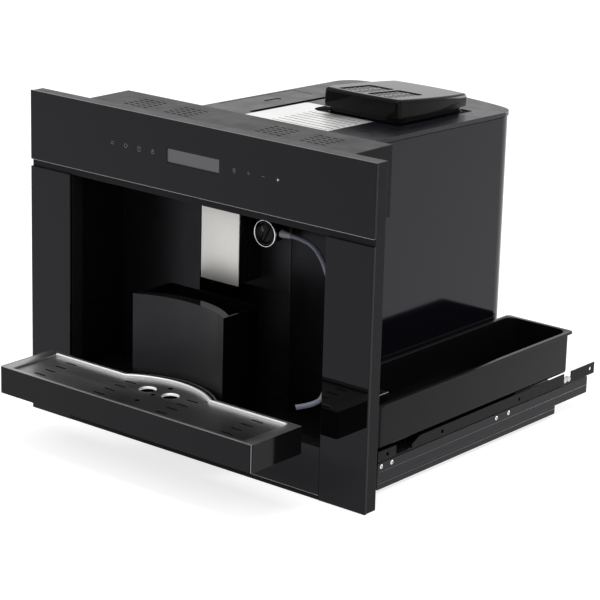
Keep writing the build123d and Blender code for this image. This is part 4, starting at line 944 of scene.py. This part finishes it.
# ---- glass front ---------------------------------------------------------------------------------
class GlassFront(Operator):
    """Make the touch marks, the display's bezel, the seal round the niche and the bright trims"""

    bl_idname = "machine.glass_front"
    bl_label = "Glass front"

    def execute(self, context):
        sizes = context.scene.machine_front
        self.marks(sizes)
        self.bezel(sizes)
        self.seal(sizes)
        self.trims(sizes)
        return {"FINISHED"}

    def trims(self, sizes):
        """Thin steel edges under the control glass and under the lower pane."""
        low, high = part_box("trim_strips")
        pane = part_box("lower_glass")
        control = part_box("control_glass")
        bm = bmesh.new()
        corners = [
            ((low.x, control[0].z - sizes.trim), (high.x, control[0].z - 0.00005)),
            ((pane[0].x, pane[0].z - sizes.trim), (pane[1].x, pane[0].z - 0.00005)),
        ]
        strips(bm, corners, low.y + 0.0002, high.y, sizes.trim * 0.3)
        piece("front_trims", bm, "bright_steel", "machine", ["trim_strips"])

    def marks(self, sizes):
        """Eight plain marks: bars, cup, glass, drop, lamp, plus, minus and start triangle."""
        low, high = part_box("touch_marks")
        radius = (high.z - low.z) / 2
        pitch = 24.2 * MM
        row = (low.z + high.z) / 2
        thick = sizes.mark_print
        line = sizes.mark_line
        left = [Vector((low.x + radius + pitch * step, FRONT, row)) for step in range(4)]
        right = [Vector((-place.x, place.y, place.z)) for place in reversed(left)]
        bm = bmesh.new()

        def bar(centre, wide, tall, turn=0.0):
            half = Vector((wide / 2, thick / 2, tall / 2))
            made = cuboid(bm, centre - half, centre + half)
            bmesh.ops.translate(bm, vec=(0, -thick / 2, 0), verts=made)
            bmesh.ops.rotate(bm, cent=centre, matrix=Matrix.Rotation(turn, 3, "Y"), verts=made)

        def ring(centre, size):
            profile = ((size - line, 0.0), (size, 0.0), (size, thick), (size - line, thick))
            lathe(bm, profile, centre, (0, -1, 0), 40, closed=True)

        for rise in (-0.35, 0.35):
            bar(left[0] + Vector((0, 0, rise * radius)), radius * 1.5, line)
        ring(left[1], radius * 0.72)
        ring(left[1] + Vector((radius * 0.75, 0, 0)), radius * 0.32)
        for side in (-0.5, 0.5):
            bar(left[2] + Vector((side * radius, 0, 0)), line, radius * 1.7)
        bar(left[2] + Vector((0, 0, -radius * 0.85)), radius * 1.0, line)
        bar(left[2] + Vector((0, 0, radius * 0.45)), radius * 1.0, line)
        ring(left[3] + Vector((0, 0, -radius * 0.25)), radius * 0.58)
        for side in (-1, 1):
            slope = side * radians(-28)
            bar(left[3] + Vector((side * radius * 0.27, 0, radius * 0.45)), line, radius * 0.95, slope)
        ring(right[0], radius * 0.60)
        bar(right[0] + Vector((radius * 0.1, 0, -radius * 0.9)), line, radius * 0.6)
        bar(right[1], radius * 1.1, line)
        bar(right[1], line, radius * 1.1)
        bar(right[2], radius * 1.1, line)
        piece("touch_icons", bm, "mark_grey", "machine", ["touch_marks"])
        lit = bmesh.new()
        half = radius * 0.62
        start = bmesh.ops.create_cone(
            lit, cap_ends=True, segments=3, radius1=half, radius2=half, depth=thick
        )["verts"]
        for degrees, axis in ((90, "Z"), (90, "X"), (180, "Y")):
            turn = Matrix.Rotation(radians(degrees), 3, axis)
            bmesh.ops.rotate(lit, cent=(0, 0, 0), matrix=turn, verts=start)
        bmesh.ops.translate(lit, vec=right[3] + Vector((0, -thick / 2, 0)), verts=start)
        piece("start_mark", lit, "mark_grey", "machine", finish="mark_white")

    def bezel(self, sizes):
        """Thin dark frame round the display's visible window."""
        low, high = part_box("display")
        rim = 3.5 * MM
        inner_low = Vector((low.x + rim, low.y, low.z + rim))
        inner_high = Vector((high.x - rim, low.y, high.z - rim))
        wide = sizes.bezel
        corners = [
            ((inner_low.x, inner_low.z), (inner_high.x, inner_low.z + wide)),
            ((inner_low.x, inner_high.z - wide * 0.6), (inner_high.x, inner_high.z)),
            ((inner_low.x, inner_low.z), (inner_low.x + wide * 1.6, inner_high.z)),
            ((inner_high.x - wide * 0.6, inner_low.z), (inner_high.x, inner_high.z)),
        ]
        bm = bmesh.new()
        strips(bm, corners, low.y - 0.00012, low.y + 0.0002)
        piece("display_bezel", bm, "liner_black", "machine")

    def seal(self, sizes):
        """Soft black seal between the liner and the fascia, round the niche."""
        low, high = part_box("niche_liner")
        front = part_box("fascia_frame")[1].y
        wide = sizes.seal
        left, right = low.x + 2 * MM, high.x - 2 * MM
        base, top = low.z + 2 * MM, high.z - 2 * MM
        corners = [
            ((left, base), (left + wide * 0.5, top)),
            ((right - wide * 0.5, base), (right, top)),
            ((left, top - wide * 0.5), (right, top)),
        ]
        bm = bmesh.new()
        strips(bm, corners, front - wide / 2, front + wide / 2, wide * 0.2)
        piece("niche_seal", bm, "liner_black", "machine")


# ---- drip tray -----------------------------------------------------------------------------------
class DripTray(Operator):
    """Make the tray's steel rim and edges, and the grille with its bead, borders and collars"""

    bl_idname = "machine.drip_tray"
    bl_label = "Drip tray"

    def execute(self, context):
        sizes = context.scene.machine_tray
        self.rim(sizes)
        self.edges(sizes)
        self.grille(sizes)
        self.borders(sizes)
        self.collars()
        return {"FINISHED"}

    def rim(self, sizes):
        """Steel skin on the rim of the tray, in the darker steel of painted reflection."""
        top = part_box("drip_tray")[1].z
        bm = copy_of("drip_tray")
        others = [f for f in bm.faces if f.normal.z < 0.9 or f.calc_center_median().z < top - 0.0005]
        bmesh.ops.delete(bm, geom=others, context="FACES")
        if not bm.faces:
            raise RuntimeError("the tray's rim wasn't found")
        raised = bmesh.ops.extrude_face_region(bm, geom=bm.faces[:])["geom"]
        verts = [part for part in raised if isinstance(part, bmesh.types.BMVert)]
        bmesh.ops.translate(bm, vec=(0, 0, sizes.skin), verts=verts)
        piece("tray_rim", bm, "brushed_steel", "tray", finish="border_reflection_steel")

    def edges(self, sizes):
        """Bright line along the top of the tray's front, and bright strips down its corners that paint the
        highlight of the rounded corners.
        """
        low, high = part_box("drip_tray")
        wide = sizes.trim
        corner_radius = 3 * MM
        inset = corner_radius * (1 - cos(pi / 4))
        bm = bmesh.new()
        ends = 2.6 * MM
        soft_box(
            bm, (low.x + ends, low.y, high.z - 0.0002), (high.x - ends, low.y + wide, high.z + wide), 0.00012
        )
        # the corner strips stand in for the highlight on the rounded corners: painted highlight
        for side in (-1, 1):
            corner = Vector((side * (high.x - inset), low.y + inset, (low.z + high.z) / 2))
            half = Vector((wide * 0.5, wide * 0.35, (high.z - low.z) / 2 - 0.0004))
            made = cuboid(bm, corner - half, corner + half)
            bmesh.ops.rotate(bm, cent=corner, matrix=Matrix.Rotation(side * pi / 4, 3, "Z"), verts=made)
        piece("tray_edges", bm, "bright_steel", "tray")

    def grille(self, sizes):
        """Grille plate with pressed openings, dark painted shade in their walls and floors, and a rear lip
        rounded like a bead, in a lighter steel that paints its highlight.
        """
        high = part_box("drip_grille")[1]
        bm = copy_of("drip_grille")
        mouths = []
        for edge in bm.edges:
            start = edge.verts[0].co
            level = all(abs(v.co.z - GRILLE_TOP) < 0.1 * MM for v in edge.verts)
            if level and abs(start.x) < 34.5 * MM and abs(start.y - CUP_Y) < 12.5 * MM:
                mouths.append(edge)
        if not mouths:
            raise RuntimeError("the grille's round openings weren't found")
        soften(bm, mouths, sizes.rim)
        crest = [v for v in bm.verts if v.co.z > high.z - 0.1 * MM]
        bmesh.ops.translate(bm, vec=(0, 0, sizes.lip_rise), verts=crest)
        risen = high.z + sizes.lip_rise - 0.1 * MM
        soften(bm, [e for e in bm.edges if all(v.co.z > risen for v in e.verts)], sizes.lip, 5)
        # raised lip faces get the lighter steel (painted highlight); walls and floors of the openings get the
        # dull dark black (painted shade)
        for face in bm.faces:
            height = face.calc_center_median().z - GRILLE_TOP
            if height > 0.3 * MM:
                face.material_index = 1
            elif height < -0.2 * MM and (abs(face.normal.z) < 0.3 or height < -1.3 * MM):
                face.material_index = 2
        others = ("lip_highlight_steel", "painted_shade_black")
        piece("grille_plate", bm, "brushed_steel", "grille", ["drip_grille"], 20, "grille_shade_steel", others)

    def collars(self):
        """Flared steel collars in the two round openings, in the lighter steel that paints their highlight.
        """
        flare = (
            (0.01205, 0.00005),
            (0.0114, -0.0006),
            (0.0108, -0.0018),
            (0.0105, -0.0034),
            (0.0109, -0.0034),
            (0.0112, -0.0018),
            (0.0118, -0.0006),
        )
        bm = bmesh.new()
        for side in (-1, 1):
            lathe(bm, flare, (side * CUP_X, CUP_Y, GRILLE_TOP), (0, 0, 1), closed=True)
        piece("cup_collars", bm, "brushed_steel", "grille", sharp=50, finish="lip_highlight_steel")

    def borders(self, sizes):
        """Raised steel border at both ends and along the front, level with the tray's rim, in the darker
        steel of painted reflection.
        """
        low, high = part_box("drip_grille")
        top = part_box("drip_tray")[1].z + sizes.skin
        foot = GRILLE_TOP - 0.2 * MM
        rear = FRONT - 39.5 * MM
        bm = bmesh.new()
        for side in (-1, 1):
            near, far = beside(side, high.x + 0.0002, high.x - sizes.border)
            soft_box(bm, (near, low.y - 0.0002, foot), (far, rear, top), 0.0004)
        start, end = low.x + sizes.border, high.x - sizes.border
        soft_box(bm, (start, low.y - 0.0002, foot), (end, low.y + sizes.front_border, top), 0.0004)
        piece("grille_borders", bm, "brushed_steel", "grille", finish="border_reflection_steel")


# ---- top -----------------------------------------------------------------------------------------
class TopDetails(Operator):
    """Make the joint lines, the bean lid's line, the dark slot floors (painted shade) and the dark sheet
    round its foot (painted shadow), the cup rack and the cover
    """

    bl_idname = "machine.top_details"
    bl_label = "Top details"

    def execute(self, context):
        sizes = context.scene.machine_top
        self.joint_lines(sizes)
        self.lid_line(sizes)
        self.foot_shadow()
        self.recessed("cup_rack", "rack_plate", "brushed_steel", "rack", sizes.rack_rim)
        self.recessed("top_cover", "cover_plate", "cover_black", "machine")
        self.slots(sizes)
        return {"FINISHED"}

    def foot_shadow(self):
        """Flat black sheet round the lid's foot on the sloping cover, with a tab to the left: painted shadow
        of the lid's foot.
        """
        low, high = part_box("bean_lid")
        cover_low, cover_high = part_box("top_cover")
        inset, wide, thick = 0.0012, 0.0088, 0.0004
        left, right, near, far = low.x + inset, high.x - inset, low.y + inset, high.y - inset
        tab = (-39.0 * MM, FRONT + 284.0 * MM), (low.x + 2 * MM, FRONT + 317.0 * MM)
        bm = bmesh.new()
        for start, end in (
            ((left, near), (right, near + wide)),
            ((left, far - wide), (right, far)),
            ((left, near + wide), (left + wide, far - wide)),
            ((right - wide, near + wide), (right, far - wide)),
            tab,
        ):
            soft_box(bm, (*start, 0.0), (*end, thick), 0.0001)
        for vert in bm.verts:
            vert.co.z += cover_high.z - TOP_FALL * (vert.co.y - cover_low.y) - 0.0001
        piece("lid_foot_shadow", bm, "liner_black", "machine", finish="painted_shade_black")

    def slots(self, sizes):
        """Dull black floors of the slots in the lid's two sunk panes, seven rows of two in each: painted
        shade in the slots.
        """
        low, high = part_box("bean_lid")
        middle = (low.x + high.x) / 2
        pane = Vector(((high.x - low.x) * 0.31, (high.y - low.y) * 0.44))
        start = low.y + 12 * MM + pane.y / 2
        pitch = (pane.y - 8 * MM) / 7
        half = Vector((pane.x / 4 - 2.6 * MM, sizes.lid_slot / 2, 0.4 * MM))
        bm = bmesh.new()
        for side in (-0.5, 0.5):
            for column in (-0.5, 0.5):
                x = middle + side * (pane.x + 6 * MM) + column * (pane.x / 2 - 1 * MM)
                for row in range(7):
                    y = start + (row - 3) * pitch
                    place = Vector((x, y, high.z - LID_FALL * (y - low.y) - 1.35 * MM))
                    cuboid(bm, place - half, place + half)
        piece("lid_slot_shade", bm, "liner_black", "lid", finish="painted_shade_black")

    def recessed(self, node, name, slot, body, rim=0.0, deep=0.0005):
        """Copy of a sloping plate with rounded rims: what is sunk deeper than deep, and the rounded rims
        inside the edge band, is dull black, painted shade in the hollows.
        """
        low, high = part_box(node)
        bm = copy_of(node)

        def sunk(place):
            return high.z - TOP_FALL * (place.y - low.y) - place.z

        if rim:
            start, end = low.x + 30 * MM, high.x - 3 * MM
            edges = []
            for edge in bm.edges:
                on_top = all(start < v.co.x < end and sunk(v.co) < 0.2 * MM for v in edge.verts)
                if on_top and abs(edge.verts[0].co.y - edge.verts[1].co.y) < 3 * MM:
                    edges.append(edge)
            soften(bm, edges, rim)
        edge_band = 4 * MM
        for face in bm.faces:
            centre = face.calc_center_median()
            inside = (
                low.x + edge_band < centre.x < high.x - edge_band
                and low.y + edge_band < centre.y < high.y - edge_band
            )
            # sunk floors and walls, and the rounded rims, get the dull black of painted shade
            floor_or_wall = face.normal.z > 0.5 or abs(face.normal.z) < 0.3
            painted_shade = deep < sunk(centre) < 6 * MM and floor_or_wall
            rounded = rim and 0.04 * MM < sunk(centre) < deep
            if inside and (painted_shade or rounded):
                face.material_index = 1
        piece(name, bm, slot, body, [node], more=("painted_shade_black",))

    def joint_lines(self, sizes):
        """Fine joint lines in the vent housing's top, in front of the slots."""
        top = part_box("vent_shroud")[1].z
        y = FRONT + 44.0 * MM
        bm = bmesh.new()
        for side in (-1, 1):
            near, far = beside(side, 62.0 * MM, 172.0 * MM)
            cuboid(bm, (near, y - sizes.joint / 2, top - 0.0002), (far, y + sizes.joint / 2, top + 0.00004))
        piece("housing_joints", bm, "liner_black", "machine")

    def lid_line(self, sizes):
        """Dark line on the lid's cap, parallel to its bowed edges."""
        low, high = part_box("bean_lid")
        middle = (low + high) / 2
        wide = (high.x - low.x) / 2 - sizes.lid_border
        long = (high.y - low.y) / 2 - sizes.lid_border
        bow = 5 * MM
        steps = 12
        places = []
        for quarter in range(4):
            half, off = (wide, long) if quarter % 2 == 0 else (long, wide)
            for step in range(steps):
                share = -1 + 2 * step / steps
                place = Vector((share * (half - bow), off - bow * share * share))
                place.rotate(Matrix.Rotation(-quarter * pi / 2, 2))
                places.append(place + middle.xy)
        line = bpy.data.curves.new("lid_line", "CURVE")
        line.dimensions = "3D"
        line.bevel_depth = sizes.joint * 0.6
        line.bevel_resolution = 2
        run = line.splines.new("POLY")
        run.points.add(len(places) - 1)
        run.use_cyclic_u = True
        for point, place in zip(run.points, places):
            point.co = (*place, high.z - LID_FALL * (place.y - low.y) - 0.0002, 1.0)
        drawn = bpy.data.objects.new("lid_line_path", line)
        bpy.context.scene.collection.objects.link(drawn)
        bpy.context.view_layer.update()
        mesh = bpy.data.meshes.new_from_object(drawn)
        bpy.data.objects.remove(drawn)
        bpy.data.curves.remove(line)
        bm = bmesh.new()
        bm.from_mesh(mesh)
        bpy.data.meshes.remove(mesh)
        piece("lid_line", bm, "liner_black", "lid")


# ---- pull-out frame ------------------------------------------------------------------------------
class WaterTank(Operator):
    """Make the water tank with the rounded edges of its rim"""

    bl_idname = "machine.water_tank"
    bl_label = "Water tank"

    def execute(self, context):
        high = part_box("water_tank")[1]
        bm = copy_of("water_tank")
        top = [e for e in bm.edges if all(v.co.z > high.z - 0.0002 for v in e.verts)]
        rim = [e for e in top if len(e.link_faces) == 2 and e.calc_face_angle(0.0) > radians(40)]
        if not rim:
            raise RuntimeError("the tank's rim wasn't found")
        soften(bm, rim, context.scene.machine_slides.tank_rim, 3)
        piece("tank_shell", bm, "tank_black", "tank", ["water_tank"], 35)
        return {"FINISHED"}


SCREW_DEPTHS = (76.0 * MM, 98.0 * MM, 333.0 * MM, 362.0 * MM)  # of the slides' screws, behind the front


class SlideFittings(Operator):
    """Make the screw heads and the rolled edges on the slides, and the white rollers"""

    bl_idname = "machine.slide_fittings"
    bl_label = "Slide fittings"

    def execute(self, context):
        sizes = context.scene.machine_slides
        self.screws(sizes)
        self.ridges(sizes)
        self.rollers(sizes)
        return {"FINISHED"}

    def screws(self, sizes):
        """Domed screw heads on both outer faces, each with a cross recess drawn as two dark bars on the dome:
        painted shade of the recess.
        """
        low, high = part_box("rail_screws")
        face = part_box("slide_outer")[1].x
        height = (low.z + high.z) / 2
        radius = (high.z - low.z) / 2
        dome = sizes.screw_dome
        half = Vector((0.00006, radius * 0.55, sizes.recess / 2))
        heads, slots = bmesh.new(), bmesh.new()
        for side in (-1, 1):
            for depth in SCREW_DEPTHS:
                start = Vector((side * face, FRONT + depth, height))
                profile = (
                    (0.0, 0.0),
                    (radius, 0.0),
                    (radius, dome * 0.45),
                    (radius * 0.82, dome * 0.92),
                    (radius * 0.45, dome * 1.1),
                    (0.0, dome * 1.12),
                )
                lathe(heads, profile, start, (side, 0, 0), 24)
                crest = Vector((side * (face + dome * 1.08), start.y, height))
                for degrees in (40, 130):
                    made = cuboid(slots, crest - half, crest + half)
                    turn = Matrix.Rotation(radians(degrees), 3, "X")
                    bmesh.ops.rotate(slots, cent=crest, matrix=turn, verts=made)
        piece("rail_screw_heads", heads, "chrome", "cabinet", ["rail_screws"])
        piece("rail_screw_recess_shade", slots, "liner_black", "cabinet")

    def ridges(self, sizes):
        """Rolled edges along the outer slides and the fixed frame, in a light grey that paints the highlight
        lines along them.
        """
        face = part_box("slide_outer")[1].x
        ridge = sizes.ridge
        bm = bmesh.new()
        for node, height in (("slide_outer", 23.5 * MM), ("cabinet_frame", 7.5 * MM)):
            low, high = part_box(node)
            for side in (-1, 1):
                near, far = beside(side, face - 0.4 * MM, face + ridge)
                start = (near, low.y + 1 * MM, height)
                soft_box(bm, start, (far, high.y - 1 * MM, height + 2 * ridge), ridge * 0.4)
        piece("slide_ridges", bm, "bright_steel", "cabinet", finish="ridge_highlight_grey")

    def rollers(self, sizes):
        """White rollers with a steel pin, two at each side."""
        low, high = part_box("pan_rollers")
        radius = (high.z - low.z) / 2
        wide = 6.0 * MM
        edge = 0.6 * MM
        wheel = (
            (sizes.hub, 0.0),
            (radius - edge, 0.0),
            (radius, edge),
            (radius, wide - edge),
            (radius - edge, wide),
            (sizes.hub, wide),
        )
        pin = ((0.0, 0.0001), (sizes.hub, 0.0001), (sizes.hub, wide), (0.0, wide))
        wheels, pins = bmesh.new(), bmesh.new()
        for side, outside in ((-1, low.x), (1, high.x)):
            for y in (low.y + radius, high.y - radius):
                start = Vector((outside, y, (low.z + high.z) / 2))
                lathe(wheels, wheel, start, (-side, 0, 0), 36, closed=True)
                lathe(pins, pin, start, (-side, 0, 0), 24)
        piece("roller_wheels", wheels, "roller_white", "machine", ["pan_rollers"])
        piece("roller_pins", pins, "chrome", "machine")


# ---- stage ---------------------------------------------------------------------------------------
def seen_rays(nodes, links):
    """One for rays from the camera, by reflection or through glass, else nought."""
    path = nodes.new("ShaderNodeLightPath")
    total = path.outputs["Is Camera Ray"]
    for kind in ("Is Glossy Ray", "Is Transmission Ray"):
        node = nodes.new("ShaderNodeMath")
        node.operation = "ADD"
        node.use_clamp = True
        links.new(total, node.inputs[0])
        links.new(path.outputs[kind], node.inputs[1])
        total = node.outputs["Value"]
    return total


class Stage(Operator):
    """Make the floor, the soft lamps, the white surroundings and the camera"""

    bl_idname = "machine.stage"
    bl_label = "Stage"

    def execute(self, context):
        settings = context.scene.machine_stage
        self.camera(context, settings)
        self.floor(context, settings)
        self.lamps(context, settings)
        self.world(context, settings)
        context.scene.view_settings.view_transform = "Standard"
        return {"FINISHED"}

    def camera(self, context, settings):
        """Camera at the photograph's angle."""
        eye = bpy.data.cameras.new("camera")
        eye.lens = settings.lens
        eye.sensor_width = 36.0
        eye.sensor_fit = "HORIZONTAL"
        eye.clip_start = 0.1
        eye.clip_end = 60.0
        camera = bpy.data.objects.new("camera", eye)
        context.scene.collection.objects.link(camera)
        turned = (
            Matrix.Rotation(settings.yaw, 4, "Z")
            @ Matrix.Rotation(pi / 2 - settings.pitch, 4, "X")
            @ Matrix.Rotation(settings.roll, 4, "Z")
        )
        camera.matrix_world = Matrix.Translation(settings.place) @ turned
        context.scene.camera = camera

    def floor(self, context, settings):
        """Pale floor under the machine."""
        bm = bmesh.new()
        bmesh.ops.create_grid(bm, x_segments=1, y_segments=1, size=settings.floor_half)
        bmesh.ops.translate(bm, vec=(0, 0, cad_box[0][2] - 0.0002), verts=bm.verts)
        mesh = bpy.data.meshes.new("floor")
        bm.to_mesh(mesh)
        bm.free()
        floor = bpy.data.objects.new("floor", mesh)
        context.scene.collection.objects.link(floor)
        made = Recipe("floor_white")
        grain = made.noise(60.0, 3.0)
        colour = tuple(settings.floor)
        made.feed("Base Color", made.mix(grain, shaded(colour, 0.99), shaded(colour, 1.01)))
        made.feed("Roughness", made.ranged(grain, 0.3, 0.7, 0.75, 0.85))
        seen = seen_rays(made.nodes, made.links)
        made.feed("Emission Strength", made.sums("MULTIPLY", seen, settings.floor_glow))
        made.set(Specular_IOR_Level=0.2, Emission_Color=(1, 1, 1, 1))
        mesh.materials.append(made.material)

    def lamps(self, context, settings):
        """Soft lamps at the front and the side, a long one overhead and a broad one behind."""
        square = (settings.lamp_size, settings.lamp_size)
        key = self.lamp(context, "key", (-1.5, -2.4, 2.4), square, settings.key_power)
        side = self.lamp(context, "side", (2.6, -0.2, 1.7), square, settings.side_power)
        key.visible_glossy = side.visible_glossy = False
        self.lamp(context, "top", (0.3, -0.5, 2.4), (1.6, 0.5), settings.top_power)
        rim = self.lamp(context, "rim", (0.35, 3.0, 0.75), (2.2, 1.4), settings.rim_power)
        rim.rotation_euler = (pi / 2, 0.0, pi)
        rim.visible_camera = rim.visible_diffuse = False

    def lamp(self, context, name, place, size, strength):
        """Flat lamp, aimed at the middle of the machine."""
        light = bpy.data.lights.new(name, "AREA")
        light.shape = "RECTANGLE"
        light.size, light.size_y = size
        light.energy = strength
        lamp = bpy.data.objects.new(name, light)
        lamp.location = place
        lamp.rotation_euler = (Vector((0, 0, 0.2)) - lamp.location).to_track_quat("-Z", "Y").to_euler()
        context.scene.collection.objects.link(lamp)
        return lamp

    def world(self, context, settings):
        """White surroundings for the eye and in reflections, milder for dull surfaces."""
        world = bpy.data.worlds.new("studio")
        world.use_nodes = True
        nodes, links = world.node_tree.nodes, world.node_tree.links
        back = nodes["Background"]
        back.inputs["Color"].default_value = (1, 1, 1, 1)
        strength = nodes.new("ShaderNodeMapRange")
        strength.inputs["To Min"].default_value = settings.sky
        strength.inputs["To Max"].default_value = 1.0
        links.new(seen_rays(nodes, links), strength.inputs["Value"])
        links.new(strength.outputs["Result"], back.inputs["Strength"])
        context.scene.world = world


# ---- panel and main ------------------------------------------------------------------------------
PARTS = (
    FrameFinishes,
    MilkHose,
    FrotherHead,
    CoffeeSpout,
    GroundsBox,
    GlassFront,
    DripTray,
    TopDetails,
    WaterTank,
    SlideFittings,
)
GROUPS = {
    "machine_colours": FinishColours,
    "machine_front": FrontSizes,
    "machine_spout": SpoutSizes,
    "machine_frother": FrotherSizes,
    "machine_tray": TraySizes,
    "machine_top": TopSizes,
    "machine_slides": SlideSizes,
    "machine_stage": StageSettings,
}


class CoffeeMachinePanel(Panel):
    """Sizes, colours and makers of the coffee machine"""

    bl_label = "Coffee machine"
    bl_idname = "VIEW3D_PT_coffee_machine"
    bl_space_type = "VIEW_3D"
    bl_region_type = "UI"
    bl_category = "Coffee machine"

    def draw(self, context):
        for name, group in GROUPS.items():
            box = self.layout.box()
            box.label(text=group.__doc__)
            for field in group.__annotations__:
                box.prop(getattr(context.scene, name), field)
        for maker in (Stage, *PARTS):
            self.layout.operator(maker.bl_idname)


CLASSES = (*GROUPS.values(), Stage, *PARTS, CoffeeMachinePanel)


def register():
    """Add the classes and their settings to Blender."""
    for one in CLASSES:
        bpy.utils.register_class(one)
    for name, group in GROUPS.items():
        setattr(bpy.types.Scene, name, PointerProperty(type=group))


def unregister():
    """Take them away again."""
    for name in GROUPS:
        delattr(bpy.types.Scene, name)
    for one in reversed(CLASSES):
        bpy.utils.unregister_class(one)


def main():
    """Add the makers, set the stage and dress the frame."""
    register()
    bpy.ops.machine.stage()
    bpy.ops.machine.milk_hose()
    bpy.ops.machine.frame_finishes()
    bpy.ops.machine.frother_head()
    bpy.ops.machine.coffee_spout()
    bpy.ops.machine.grounds_box()
    bpy.ops.machine.glass_front()
    bpy.ops.machine.drip_tray()
    bpy.ops.machine.top_details()
    bpy.ops.machine.water_tank()
    bpy.ops.machine.slide_fittings()


if __name__ == "__main__":
    main()
